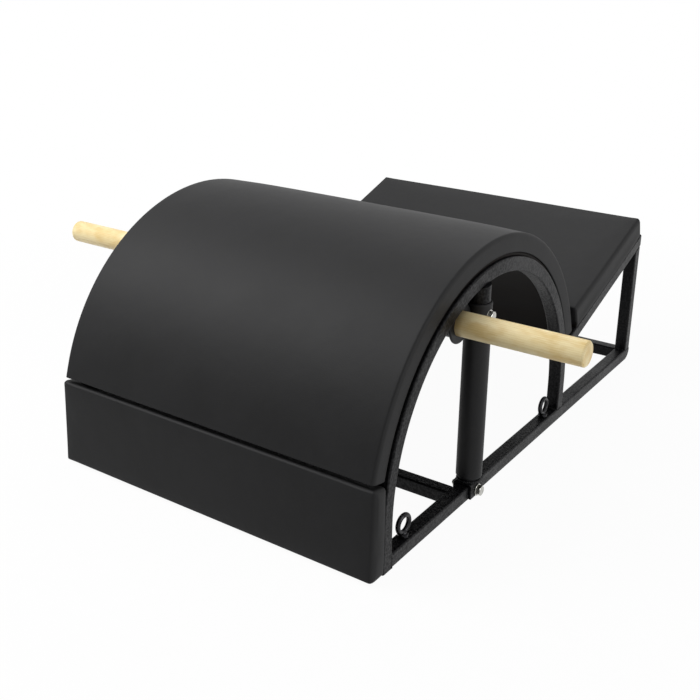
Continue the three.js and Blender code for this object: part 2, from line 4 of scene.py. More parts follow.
import bpy
import numpy as np
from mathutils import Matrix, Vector


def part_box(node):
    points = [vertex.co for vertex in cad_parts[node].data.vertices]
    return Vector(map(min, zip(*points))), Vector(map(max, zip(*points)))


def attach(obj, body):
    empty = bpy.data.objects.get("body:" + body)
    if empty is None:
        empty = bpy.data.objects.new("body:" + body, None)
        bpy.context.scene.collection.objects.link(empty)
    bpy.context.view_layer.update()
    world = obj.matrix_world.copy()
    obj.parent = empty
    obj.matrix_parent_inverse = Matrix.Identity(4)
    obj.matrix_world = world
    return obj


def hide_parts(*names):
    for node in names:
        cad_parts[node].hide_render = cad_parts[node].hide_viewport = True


# Pilates spine corrector: a half barrel pad, an upright front pad and a sloping step pad, covered in black
# vinyl, on a welded frame of powder coated square tube, with a beech rod through it as a pair of handles.
# Metres. X runs from the front pad to the step, Y from the near side to the far side, Z up from the floor.
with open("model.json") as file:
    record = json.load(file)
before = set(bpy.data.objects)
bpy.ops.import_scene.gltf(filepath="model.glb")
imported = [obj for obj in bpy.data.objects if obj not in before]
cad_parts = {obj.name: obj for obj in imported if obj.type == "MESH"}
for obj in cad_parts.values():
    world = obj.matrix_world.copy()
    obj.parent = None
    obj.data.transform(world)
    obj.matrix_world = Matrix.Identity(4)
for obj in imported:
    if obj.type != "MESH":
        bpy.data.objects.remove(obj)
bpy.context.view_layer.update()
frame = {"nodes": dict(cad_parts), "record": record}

MM = 0.001
GAP = 0.3 * MM


# Places read from the frame

def points_of(mesh):
    """A Blender mesh's points, one row each."""
    flat = np.empty(len(mesh.vertices) * 3, np.float32)
    mesh.vertices.foreach_get("co", flat)
    return flat.reshape(-1, 3).astype(float)


def corners(node):
    """A node's corner points."""
    return points_of(frame["nodes"][node].data)


def box(node):
    """A node's lowest and highest corners."""
    low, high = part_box(node)
    return np.array(low), np.array(high)


def middle(node):
    """The centre of a node's box."""
    low, high = box(node)
    return (low + high) / 2


def half(node, axis=0):
    """Half the size of a node's box along one axis."""
    low, high = box(node)
    return (high[axis] - low[axis]) / 2


def at_depth(node, y):
    """The centre of a node's box, moved along Y to another place."""
    return middle(node) * [1, 0, 1] + ALONG_Y * y


def at_height(node, z):
    """The centre of a node's box, moved along Z to another height."""
    return middle(node) * [1, 1, 0] + ALONG_Z * z


def round_arch(node):
    """A bent node's first and last angle about the arch's centre, and its least and greatest distance."""
    points = corners(node) - ARCH_CENTRE
    angles = np.arctan2(points[:, 2], -points[:, 0])
    distance = np.hypot(points[:, 0], points[:, 2])
    return angles.min(), angles.max(), distance.min(), distance.max()


def spans_of(node, axes):
    """The least and greatest place of a node's corners along each direction, one row each."""
    along = corners(node) @ np.transpose(axes)
    return np.column_stack([along.min(0), along.max(0)])


ALONG_X, ALONG_Y, ALONG_Z = np.eye(3)

TUBE = 2 * half("cross_rail_mid", 2)
TUBE_CORNER = 2.5 * MM

arch_low, arch_high = box("arch_tube_near")
SIDE_Y = -(arch_low[1] + arch_high[1]) / 2
ARCH_OUTER = (arch_high[0] - arch_low[0]) / 2
ARCH_INNER = ARCH_OUTER - TUBE
ARCH_X = (arch_low[0] + arch_high[0]) / 2
ARCH_Z = arch_high[2] - ARCH_OUTER
ARCH_CENTRE = np.array([ARCH_X, 0, ARCH_Z])

SEAT_LOW = middle("cross_rail_seat_low")
SEAT_HIGH = middle("cross_rail_seat_high")
UP_SLOPE = (SEAT_HIGH - SEAT_LOW) / np.linalg.norm(SEAT_HIGH - SEAT_LOW)
OFF_SLOPE = np.cross(UP_SLOPE, ALONG_Y)
FRAME_BACK = box("rear_post_near")[1][0]


# Shapes: a shape is an array of points and a list of index arrays, one for quads and one for each other
# face size

def curve(centre, radius, start, end, steps=6):
    """Points on an arc of a circle, from one angle to another in degrees, in equal turns."""
    turn = np.radians(np.linspace(start, end, steps + 1))
    return np.column_stack([centre[0] + radius * np.cos(turn), centre[1] + radius * np.sin(turn)])


def full_turn(count):
    """Equal angles all the way round."""
    return np.linspace(0, 2 * np.pi, count, endpoint=False)


def about_z(radius, height, turn):
    """Points at a radius, a height and an angle about Z."""
    return np.stack([radius * np.cos(turn), radius * np.sin(turn), height + 0 * turn], -1)


def rounded_outline(width, height, radius, steps=6):
    """A rectangle whose corners are quarter circles. Each straight side holds one more point beside each
    corner, a quarter radius in, so that the side stays flat under smooth shading."""
    corner = np.array([width, height]) / 2
    hold = radius / 4
    parts = []
    for quarter, (sx, sy) in enumerate(((1, 1), (-1, 1), (-1, -1), (1, -1))):
        arc = curve((corner - radius) * (sx, sy), radius, 90 * quarter, 90 * quarter + 90, steps)
        holds = [(0, sy * hold), (sx * hold, 0)]
        before, after = holds if quarter % 2 == 0 else holds[::-1]
        parts.append(np.vstack([arc[0] - before, arc, arc[-1] - after]))
    return np.vstack(parts)


def facing_out(points, faces):
    """Turns all faces round where the signed volume that they enclose is negative."""
    volume = 0.0
    for group in faces:
        a = points[group[:, 0]]
        for i in range(1, group.shape[1] - 1):
            volume += np.einsum("ij,ij->", a, np.cross(points[group[:, i]], points[group[:, i + 1]]))
    return [group[:, ::-1] for group in faces] if volume < 0 else faces


def skin(rings, loop=False):
    """Joins rings of points, shape (rings, points, 3), with quads. The last ring joins the first one in a
    loop, and otherwise each end ring is closed by a fan of triangles round its middle."""
    rows, count = rings.shape[:2]
    i, j = np.meshgrid(np.arange(rows if loop else rows - 1), np.arange(count), indexing="ij")
    after, beside = (i + 1) % rows, (j + 1) % count
    quads = np.stack([i * count + j, i * count + beside, after * count + beside, after * count + j], -1)
    points = rings.reshape(-1, 3)
    faces = [quads.reshape(-1, 4)]
    if not loop:
        points = np.vstack([points, rings[0].mean(0), rings[-1].mean(0)])
        j = np.arange(count)
        hub = rows * count
        first = np.column_stack([np.full(count, hub), (j + 1) % count, j])
        last = np.column_stack([np.full(count, hub + 1), hub - count + j, hub - count + (j + 1) % count])
        faces.append(np.vstack([first, last]))
    return points, facing_out(points, faces)


def carried(path, normals, across, outline, loop=False):
    """A flat outline carried along a path: its first coordinate follows the normal, which may differ from
    point to point of the path, and its second follows the direction across."""
    normals = np.broadcast_to(normals, path.shape)
    return skin(path[:, None] + outline[:, :1] * normals[:, None] + outline[:, 1:] * across, loop)


def turned(profile, sides, loop=False):
    """A profile of radius and height turned about Z. A loop profile leaves its bore open."""
    profile = np.asarray(profile, float)
    return skin(about_z(profile[:, :1], profile[:, 1:], full_turn(sides)), loop)


def pipe(bore, radius, length, edge, sides):
    """A pipe up Z from zero, the four corners of its wall cut off by an edge."""
    lower = [[bore, edge], [bore + edge, 0], [radius - edge, 0], [radius, edge]]
    upper = [[out, length - height] for out, height in lower[::-1]]
    return turned(lower + upper, sides, loop=True)


def stood(shape, origin, axes):
    """The shape with its own X, Y and Z laid along three directions from an origin."""
    points, faces = shape
    points = points @ np.asarray(axes, float) + origin
    return points, facing_out(points, faces)


def aimed(shape, origin, direction, spin=0.0):
    """The shape with its Z along a direction from an origin, spun about it by an angle in degrees."""
    z = direction / np.linalg.norm(direction)
    side = ALONG_Z if abs(z[2]) < 0.9 else ALONG_X
    x = np.cross(side, z) / np.linalg.norm(np.cross(side, z))
    y = np.cross(z, x)
    c, s = math.cos(math.radians(spin)), math.sin(math.radians(spin))
    return stood(shape, origin, [c * x + s * y, c * y - s * x, z])


def mirrored(shape):
    """The shape's mirror image on the frame's other side."""
    return stood(shape, 0, [ALONG_X, -ALONG_Y, ALONG_Z])


def together(*shapes):
    """Several shapes as one, each still its own closed skin."""
    points, faces, start = [], [], 0
    for own, groups in shapes:
        points.append(own)
        faces += [group + start for group in groups]
        start += len(own)
    return np.vstack(points), faces


def object_of(shape, name):
    """A Blender object with the shape's points and faces, linked to the scene."""
    points, faces = shape
    mesh = bpy.data.meshes.new(name)
    mesh.from_pydata(points.tolist(), [], [face for group in faces for face in group.tolist()])
    item = bpy.data.objects.new(name, mesh)
    bpy.context.scene.collection.objects.link(item)
    return item


def whole_numbers(items, name):
    """One whole number from each item of a Blender collection."""
    numbers = np.empty(len(items), np.int32)
    items.foreach_get(name, numbers)
    return numbers


def shape_of(mesh):
    """The points and faces of a Blender mesh, with faces grouped by their number of corners."""
    loops, starts, totals = [whole_numbers(*each) for each in (
        (mesh.loops, "vertex_index"), (mesh.polygons, "loop_start"), (mesh.polygons, "loop_total"))]
    faces = [loops[starts[totals == n][:, None] + np.arange(n)] for n in np.unique(totals)]
    return points_of(mesh), faces


def discard(*items):
    """Removes objects with their meshes."""
    for item in items:
        own = item.data
        bpy.data.objects.remove(item)
        bpy.data.meshes.remove(own)


def modified(shape, kind, tools=(), **settings):
    """The shape after one kind of modifier: once for each tool shape, or once on its own."""
    work = object_of(shape, "work")
    helpers = [object_of(tool, "tool") for tool in tools]
    for helper in helpers or [None]:
        modifier = work.modifiers.new(kind, kind)
        if helper:
            modifier.object = helper
        for name, value in settings.items():
            setattr(modifier, name, value)
    bpy.context.view_layer.update()
    mesh = bpy.data.meshes.new_from_object(work.evaluated_get(bpy.context.evaluated_depsgraph_get()))
    result = shape_of(mesh)
    discard(work, *helpers)
    bpy.data.meshes.remove(mesh)
    return result


def cut(shape, *tools):
    """The shape with the tools' space taken out."""
    return modified(shape, "BOOLEAN", tools, operation="DIFFERENCE", solver="EXACT")


def joined(shape, *others):
    """The shape and the others as one skin."""
    return modified(shape, "BOOLEAN", others, operation="UNION", solver="EXACT")


def drill(centre, direction, radius, length):
    """A round tool for cutting a hole, centred on a point of the hole's axis."""
    rod = turned([[radius, -length / 2], [radius, length / 2]], 40)
    return aimed(rod, centre, direction)


# Finishes

def linear(colour):
    """An sRGB hex value as linear red, green and blue, with full alpha."""
    levels = np.array([int(colour[i:i + 2], 16) for i in (1, 3, 5)]) / 255
    levels = np.where(levels <= 0.04045, levels / 12.92, ((levels + 0.055) / 1.055) ** 2.4)
    return (*levels.tolist(), 1.0)


def add(tree, kind, inputs=None, stops=(), **settings):
    """Adds a node with its settings. An input given as a socket is linked, and any other is set. Stops are
    the places and hex colours of a colour ramp."""
    node = tree.nodes.new(kind)
    for name, value in settings.items():
        setattr(node, name, value)
    for place, (position, colour) in enumerate(stops):
        elements = node.color_ramp.elements
        element = elements[place] if place < 2 else elements.new(position)
        element.position, element.color = position, linear(colour)
    for name, value in (inputs or {}).items():
        if isinstance(value, bpy.types.NodeSocket):
            tree.links.new(value, node.inputs[name])
        else:
            node.inputs[name].default_value = value
    return node


def material(name):
    """A new material, its emptied node tree and its Object coordinates."""
    made = bpy.data.materials.new(name)
    made.use_nodes = True
    tree = made.node_tree
    tree.nodes.clear()
    return made, tree, add(tree, "ShaderNodeTexCoord").outputs["Object"]


def shade(tree, **inputs):
    """Ends a material with its shader. An underscore in an input's name stands for a space."""
    spaced = {name.replace("_", " "): value for name, value in inputs.items()}
    shader = add(tree, "ShaderNodeBsdfPrincipled", spaced)
    add(tree, "ShaderNodeOutputMaterial", {"Surface": shader.outputs[0]})


def per_mm(size):
    """A texture's scale for a pattern that repeats at a size in millimetres."""
    return 1 / (size * MM)


def stretched(tree, place, sizes):
    """The place in units of a pattern's sizes in millimetres, one for each axis."""
    scale = tuple(per_mm(size) for size in sizes)
    return add(tree, "ShaderNodeMapping", {"Vector": place, "Scale": scale}).outputs["Vector"]


def shifted(tree, place, shift):
    """The place measured from another origin."""
    return add(tree, "ShaderNodeMapping", {"Vector": place, "Location": shift}).outputs["Vector"]


def noise(tree, place, size, detail=2.0, **others):
    """Noise with grains of a size in millimetres, or of the place's own units."""
    scale = per_mm(size) if size else 1.0
    inputs = {"Vector": place, "Scale": scale, "Detail": detail, **others}
    return add(tree, "ShaderNodeTexNoise", inputs).outputs["Fac"]


def cells(tree, place, size, feature="F1"):
    """Distance from the middle of the nearest cell, with cells of a size in millimetres, or of the place's
    own units."""
    scale = per_mm(size) if size else 1.0
    inputs = {"Vector": place, "Scale": scale}
    return add(tree, "ShaderNodeTexVoronoi", inputs, feature=feature).outputs["Distance"]


def ring_waves(tree, place, size, **settings):
    """Rings about the Y axis at a spacing in millimetres. The wave's own scale is twenty radians a unit."""
    inputs = {"Vector": place, "Scale": per_mm(size) * math.tau / 20}
    return add(tree, "ShaderNodeTexWave", inputs, wave_type="RINGS", rings_direction="Y",
               **settings).outputs["Fac"]


def ramp(tree, level, *stops):
    """A colour that goes with a level."""
    return add(tree, "ShaderNodeValToRGB", {"Fac": level}, stops).outputs["Color"]


def span(tree, level, low, high, start=0.0, end=1.0, **settings):
    """A level brought from one span of values to another."""
    inputs = {"Value": level, "From Min": start, "From Max": end, "To Min": low, "To Max": high}
    return add(tree, "ShaderNodeMapRange", inputs, **settings).outputs["Result"]


def reckoned(tree, operation, *values):
    """The result of one sum."""
    return add(tree, "ShaderNodeMath", dict(enumerate(values)), operation=operation).outputs[0]


def times(tree, share, first, second):
    """A colour multiplied by a share of another."""
    return add(tree, "ShaderNodeMix", {0: share, 6: first, 7: second}, data_type="RGBA",
               blend_type="MULTIPLY").outputs[2]


def dented(tree, height, depth, strength, **normal):
    """A surface normal that follows a height, to a depth in millimetres."""
    inputs = {"Height": height, "Strength": strength, "Distance": depth * MM, **normal}
    return add(tree, "ShaderNodeBump", inputs).outputs["Normal"]


def powder_coat():
    """Textured polyester powder coat on steel: satin black, with the fine pebble of cured powder, which
    breaks its highlights into bright grains. The pebble is about 1 mm and is drawn at 3 mm to show."""
    made, tree, place = material("satin_black_powder_coat")
    pebble = noise(tree, place, 3, 3.0, Roughness=0.6)
    drift = noise(tree, place, 70)
    shade(tree, IOR=1.5,
          Base_Color=ramp(tree, pebble, (0.4, "#08080a"), (0.62, "#161618")),
          Roughness=span(tree, drift, 0.34, 0.44, 0.3, 0.7),
          Specular_IOR_Level=span(tree, pebble, 0.08, 0.17, 0.4, 0.62),
          Normal=dented(tree, pebble, 0.8, 0.7))
    return made


def vinyl():
    """Upholstery vinyl, calendered on a knit and embossed with a fine leather grain: matt black, nearly
    smooth from a step away, with a soft sheen at a low angle that the slack of the stretched cover makes
    slightly uneven. The grain's cells are about 1 mm and are drawn at 1.5 mm."""
    made, tree, place = material("embossed_black_vinyl")
    grain = reckoned(tree, "MULTIPLY", cells(tree, place, 1.5, "SMOOTH_F1"), noise(tree, place, 0.7))
    drift = noise(tree, place, 90, 6.0, Roughness=0.62)
    slack = dented(tree, noise(tree, place, 38), 1.5, 0.35)
    shade(tree, IOR=1.47, Specular_IOR_Level=0.2,
          Base_Color=ramp(tree, drift, (0.36, "#101011"), (0.64, "#171718")),
          Roughness=span(tree, drift, 0.54, 0.60, 0.3, 0.7),
          Normal=dented(tree, grain, 0.3, 0.45, Normal=slack))
    return made


HEARTWOOD = np.array([42, 0, 33]) * MM
# Painted shade on the rod beside each bush: how far it reaches past the bush and how strongly it darkens
BUSH_SHADE_REACH = 11 * MM
BUSH_SHADE_SHARE = 0.55


def painted_bush_shade(tree, place):
    """Painted shade where the rod enters a bush: strongest inside it at rest, fading to nothing beside it.
    """
    across = add(tree, "ShaderNodeSeparateXYZ", {0: place}).outputs["Y"]
    away = reckoned(tree, "ABSOLUTE", across)
    past = reckoned(tree, "SUBTRACT", away, -middle("handle_bush_near")[1])
    beside = reckoned(tree, "ABSOLUTE", past)
    inside = half("handle_bush_near", 1)
    return span(tree, beside, BUSH_SHADE_SHARE, 0.0, inside, inside + BUSH_SHADE_REACH, interpolation_type="SMOOTHSTEP")


def beech():
    """Steamed beech dowel, turned, sanded and clear coated: pale straw in slightly browner patches, with
    growth rings that run as fine lines along the rod and curve across its ends, and the short flecks of its
    rays. A brown band of painted shade darkens the rod where it enters each bush. Rings are about 2.5 mm
    apart."""
    made, tree, place = material("clear_coated_beech")
    wide = stretched(tree, place, (60, 300, 60))
    wander = add(tree, "ShaderNodeTexNoise", {"Vector": wide, "Scale": 1.0})
    bend = add(tree, "ShaderNodeVectorMath", {0: wander.outputs["Color"], 1: (8 * MM, 0.0, 8 * MM)},
               operation="MULTIPLY")
    from_heart = shifted(tree, place, HEARTWOOD - middle("handle_rod"))
    swayed = add(tree, "ShaderNodeVectorMath", {0: from_heart, 1: bend.outputs["Vector"]}, operation="ADD")
    growth = ring_waves(tree, swayed.outputs["Vector"], 2.5, wave_profile="SAW")
    fibre = noise(tree, stretched(tree, place, (0.9, 14, 0.9)), None, 3.0)
    rays = cells(tree, stretched(tree, place, (1.1, 4.5, 1.1)), None)
    stain = noise(tree, stretched(tree, place, (16, 34, 16)), None)
    tone = ramp(tree, growth, (0.0, "#efdfb2"), (0.9, "#e8d49f"), (0.65, "#eddbab"))
    tone = times(tree, 0.7, tone, ramp(tree, stain, (0.36, "#ead9b4"), (0.6, "#ffffff")))
    tone = times(tree, 0.3, tone, ramp(tree, fibre, (0.35, "#e2d5ba"), (0.6, "#ffffff")))
    tone = times(tree, 0.3, tone, ramp(tree, rays, (0.10, "#d8c296"), (0.2, "#ffffff")))
    shade(tree, IOR=1.5, Specular_IOR_Level=0.35,
          # The brown #5f4730 is painted shade, multiplied into the wood where the rod enters each bush
          Base_Color=times(tree, painted_bush_shade(tree, place), tone, linear("#5f4730")),
          Roughness=span(tree, fibre, 0.36, 0.5),
          Normal=dented(tree, fibre, 0.1, 0.15))
    return made


def zinc(name, dark, light, low, high, cloud_size, metal):
    """Zinc plate on steel, between a dark and a light tone in faint clouds, with the fine marks of the
    tumbling barrel. The marks are about 0.3 mm and are drawn at 0.6 mm."""
    made, tree, place = material(name)
    cloud = noise(tree, place, cloud_size, 3.0)
    marks = noise(tree, place, 0.6)
    shade(tree, Metallic=metal,
          Base_Color=ramp(tree, cloud, (0.3, dark), (0.7, light)),
          Roughness=span(tree, marks, low, high),
          Normal=dented(tree, marks, 0.05, 0.2))
    return made


def bright_zinc():
    """Bright zinc plate on drawn steel: silver, with a faint cloud of passivation."""
    return zinc("bright_zinc_plate", "#9c9c97", "#c4c3bd", 0.14, 0.3, 5, 1.0)


def black_zinc():
    """Black zinc plate on steel: a dark grey metal with an even, slightly cloudy sheen."""
    return zinc("black_zinc_plate", "#1b1b1d", "#2e2e30", 0.16, 0.28, 4, 0.9)


def foam_rubber():
    """Closed-cell foam rubber tube: matt black skin with the small pits of its cells, which gives a broad
    soft highlight down the post. The pits are about 0.8 mm and are drawn at 1.2 mm."""
    made, tree, place = material("closed_cell_foam_rubber")
    pits = cells(tree, place, 1.2)
    drift = noise(tree, place, 18, 3.0)
    shade(tree, IOR=1.5, Specular_IOR_Level=0.2,
          Base_Color=ramp(tree, pits, (0.1, "#0f0f10"), (0.5, "#171718")),
          Roughness=span(tree, drift, 0.46, 0.6),
          Normal=dented(tree, pits, 0.2, 0.4))
    return made


def nylon():
    """Nylon 6 bush, turned from black bar: a smooth black with the fine rings of the lathe tool, 0.8 mm
    apart on its flange, and an even low gloss."""
    made, tree, place = material("turned_black_nylon")
    lathe = ring_waves(tree, shifted(tree, place, -middle("handle_rod")), 0.8)
    shade(tree, IOR=1.53, Specular_IOR_Level=0.18,
          Base_Color=ramp(tree, lathe, (0.3, "#0a0a0b"), (0.7, "#111112")),
          Roughness=span(tree, lathe, 0.3, 0.45),
          Normal=dented(tree, lathe, 0.1, 0.2))
    return made


def stained_plywood():
    """Birch plywood with a black water stain: nearly black, with the long figure of the veneer still
    showing as slightly browner streaks, 3 mm wide, and open pores between them."""
    made, tree, place = material("black_stained_plywood")
    figure = noise(tree, stretched(tree, place, (3, 90, 3)), None, 4.0, Distortion=0.6)
    shade(tree, IOR=1.5, Specular_IOR_Level=0.1,
          Base_Color=ramp(tree, figure, (0.3, "#0b0a09"), (0.7, "#181412")),
          Roughness=span(tree, figure, 0.6, 0.78),
          Normal=dented(tree, figure, 0.2, 0.35))
    return made


# Each finish: the word that ends its pieces' names, its material, and the record's slot
FINISHES = {
    "steel": (powder_coat(), "frame_coat"),
    "vinyl": (vinyl(), "vinyl"),
    "beech": (beech(), "beech"),
    "zinc": (bright_zinc(), "zinc"),
    "black_zinc": (black_zinc(), "black_zinc"),
    "rubber": (foam_rubber(), "sleeve_rubber"),
    "nylon": (nylon(), "bush_nylon"),
    "ply": (stained_plywood(), "plywood"),
}
BODY_OF = {node: body for body, nodes in frame["record"]["behaviour"]["bodies"].items() for node in nodes}


def piece(name, shape, finish, body="frame", sharp=35):
    """A finished piece: smooth, with an edge kept crisp where its faces turn by more than the sharp
    angle."""
    item = object_of(shape, name)
    item.data.shade_smooth()
    item.data.set_sharp_from_angle(angle=math.radians(sharp))
    coat, slot = FINISHES[finish]
    item.data.materials.append(coat)
    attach(item, body)
    return item


def replace(node, shape, finish, sharp=35):
    """A finished piece that stands for a node of the frame and moves with its body."""
    item = piece(f"{node}_{finish}", shape, finish, BODY_OF[node], sharp)
    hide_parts(node)
    return item


def replace_pair(node, shape, finish, sharp=35):
    """A piece on the near side and its mirror image on the far side."""
    replace(f"{node}_near", shape, finish, sharp)
    replace(f"{node}_far", mirrored(shape), finish, sharp)


# Frame tubes

TUBE_OUTLINE = rounded_outline(TUBE, TUBE, TUBE_CORNER)
SCREW_HOLE = 2.7 * MM
BOLT_HOLE = 4.4 * MM
OVERRUN = 5 * MM
ARC_STEPS = 108
HEEL = 16 * MM
HEEL_STEPS = 10


def arch_path(radius, foot):
    """Points and outward normals of the arch line: up the front leg, a half circle, and down the rear
    leg."""
    turn = np.linspace(0, np.pi, ARC_STEPS + 1)
    out = np.column_stack([-np.cos(turn), 0 * turn, np.sin(turn)])
    arc = ARCH_CENTRE + radius * out
    front = arc[0] * [1, 1, 0]
    rear = arc[-1] * [1, 1, 0] + [0, 0, foot]
    return np.vstack([front, arc, rear]), np.vstack([out[0], out, out[-1]])


def bolt_hole(name, y, length):
    """A tool for a hole on the axis of the foot bolt or the socket bolt, centred at a depth."""
    return drill(at_depth(f"{name}_bolt_near", y), ALONG_Y, BOLT_HOLE, length)


def screw_axis(node):
    """A screw's mean point, which lies on its axis, the axis's direction, and the screw's length."""
    points = corners(node)
    centre = points.mean(0)
    _, _, rows = np.linalg.svd(points - centre, full_matrices=False)
    return centre, rows[0], np.ptp(points @ rows[0])


def screw_hole(node, length):
    """A tool for a hole on a screw's axis."""
    centre, direction, _ = screw_axis(node)
    return drill(centre, direction, SCREW_HOLE, length)


def arch_tubes():
    path, normals = arch_path(ARCH_OUTER - TUBE / 2, TUBE + GAP)
    tube = carried(path - ALONG_Y * SIDE_Y, normals, ALONG_Y, TUBE_OUTLINE)
    holes = [screw_hole(f"arch_screw_near_{place}", 2 * TUBE) for place in (1, 2)]
    replace_pair("arch_tube", cut(tube, *holes), "steel")


def base_rails():
    """A rounded tube along X whose underside climbs a quarter circle at the rear end: there each ring is
    squeezed between the tube's top and the heel's curve."""
    low, high = box("base_rail_near")
    turn = np.linspace(0, np.pi / 2, HEEL_STEPS + 1)
    x = np.concatenate([[low[0]], high[0] - HEEL + HEEL * np.sin(turn)])
    foot = np.concatenate([[0], HEEL * (1 - np.cos(turn))])
    share = (TUBE_OUTLINE[:, 1] + TUBE / 2) / TUBE
    z = foot[:, None] + share * (TUBE - foot)[:, None]
    y = TUBE_OUTLINE[:, 0] - SIDE_Y + 0 * z
    rail = skin(np.stack([x[:, None] + 0 * z, y, z], -1))
    holes = [bolt_hole("foot", -SIDE_Y, 2 * TUBE)]
    for node in ("eye_ring_front_near", "eye_ring_rear_near"):
        eye = at_height(node, box(node)[0][2])
        length = TUBE - eye[2] + GAP + OVERRUN
        holes.append(drill(eye + ALONG_Z * (length / 2 - GAP), ALONG_Z, BOLT_HOLE, length))
    replace_pair("base_rail", cut(rail, *holes), "steel")


def upright(x, y, bottom, top):
    """A post whose bottom is level and whose top has a height for each point of its outline."""
    return skin(np.stack([np.column_stack([x, y, bottom + 0 * x]), np.column_stack([x, y, top])]))


def rear_posts():
    """An upright tube whose top ring is raised, point by point, to the underside of the slope."""
    low, high = box("rear_post_near")
    climb = UP_SLOPE[2] / UP_SLOPE[0]
    x = TUBE_OUTLINE[:, 0] + (low[0] + high[0]) / 2
    y = TUBE_OUTLINE[:, 1] - SIDE_Y
    top = high[2] - (high[0] - x) * climb
    replace_pair("rear_post", upright(x, y, low[2], top), "steel")


def cope(start, direction, radius):
    """How far each point travels along a direction, seen from the side, until it leaves the circle of this
    radius about the arch's centre."""
    flat = (start - ARCH_CENTRE) * [1, 0, 1]
    along = flat @ direction
    return -along + np.sqrt(along ** 2 - (flat ** 2).sum(1) + radius ** 2)


def slope_rails():
    """A tube up the slope. Its low end is coped to the arch, and its high end is cut upright at the frame's
    back."""
    start = SEAT_LOW * [1, 0, 1] - ALONG_Y * SIDE_Y + TUBE_OUTLINE[:, :1] * OFF_SLOPE \
        + TUBE_OUTLINE[:, 1:] * ALONG_Y
    low = start + cope(start, UP_SLOPE, ARCH_OUTER + GAP)[:, None] * UP_SLOPE
    high = start + ((FRAME_BACK - start[:, 0]) / UP_SLOPE[0])[:, None] * UP_SLOPE
    replace_pair("slope_rail", skin(np.stack([low, high])), "steel")


CROSS_RAILS = {
    "cross_rail_front": ("front_screw_1", "front_screw_2"),
    "cross_rail_front_high": ("front_screw_3", "front_screw_4"),
    "cross_rail_mid": (),
    "cross_rail_rear": (),
    "cross_rail_seat_low": ("seat_screw_1", "seat_screw_2"),
    "cross_rail_seat_high": ("seat_screw_3", "seat_screw_4"),
}


def section_axes(node):
    """The directions of a cross rail's section: forward and up, or up the slope and off it."""
    return (UP_SLOPE, OFF_SLOPE) if "seat" in node else (ALONG_X, ALONG_Z)


def cross_rails():
    for node, screw_nodes in CROSS_RAILS.items():
        centre, end = middle(node), ALONG_Y * half(node, 1)
        forward, up = section_axes(node)
        rail = carried(np.array([centre - end, centre + end]), forward, up, TUBE_OUTLINE)
        holes = [screw_hole(screw, 3 * TUBE) for screw in screw_nodes]
        replace(node, cut(rail, *holes) if holes else rail, "steel")


# Welds

WELD = 2.2 * MM
FLUSH_WELD = 1.1 * MM
WELD_RIPPLE = 2.4 * MM
RIPPLE_SHARE = 0.1
BEAD_SIDES = 12
WELD_INSET = 2.5 * MM
GROUND_WELD = 2.6 * MM
GROUND_DEPTH = 2.4 * MM


def bead(route, radius=WELD, phase=0.0):
    """A weld bead: a round rod along a flat route, with a radius that ripples by a tenth at each pulse of
    the weld and falls away at both ends along a quarter ellipse. What would pass below the floor is pressed
    level."""
    route = np.asarray(route, float)
    gone = np.concatenate([[0], np.cumsum(np.linalg.norm(np.diff(route, axis=0), axis=1))])
    s = np.linspace(0, gone[-1], max(9, int(gone[-1] / WELD_RIPPLE * 6)))
    centre = np.column_stack([np.interp(s, gone, route[:, k]) for k in range(3)])
    along = np.gradient(centre, axis=0)
    along /= np.linalg.norm(along, axis=1)[:, None]
    second = np.eye(3)[np.argmin(np.abs(along).max(0))]
    first = np.cross(along, second)
    ripple = 1 + RIPPLE_SHARE * np.cos(2 * np.pi * s / WELD_RIPPLE + phase)
    near_end = np.clip(np.minimum(s, gone[-1] - s) / (2 * radius), 0.02, 1)
    size = radius * ripple * np.sqrt(1 - (1 - near_end) ** 2)
    turn = full_turn(BEAD_SIDES)[:, None]
    rings = centre[:, None] + size[:, None, None] * (np.cos(turn) * first[:, None] + np.sin(turn) * second)
    rings[:, :, 2] = np.maximum(rings[:, :, 2], 0)
    return skin(rings)


def ring_bead(centre, axis_radius, radius=WELD):
    """A weld bead round an upright post: the rippled rod closed into a level ring."""
    turn = full_turn(180)
    out = about_z(1, 0, turn)
    pulses = round(2 * np.pi * axis_radius / WELD_RIPPLE)
    size = radius * (1 + RIPPLE_SHARE * np.cos(pulses * turn))
    around = full_turn(BEAD_SIDES)[:, None]
    rings = (centre + axis_radius * out)[:, None] + size[:, None, None] * (
        np.cos(around) * out[:, None] + np.sin(around) * ALONG_Z)
    return skin(rings, loop=True)


def across_tube(x, z, radius=WELD):
    """A bead across the near side's tube at one place of its side view."""
    edge = TUBE / 2 - WELD_INSET
    return bead([[x, -SIDE_Y - edge, z], [x, -SIDE_Y + edge, z]], radius, phase=x * 900)


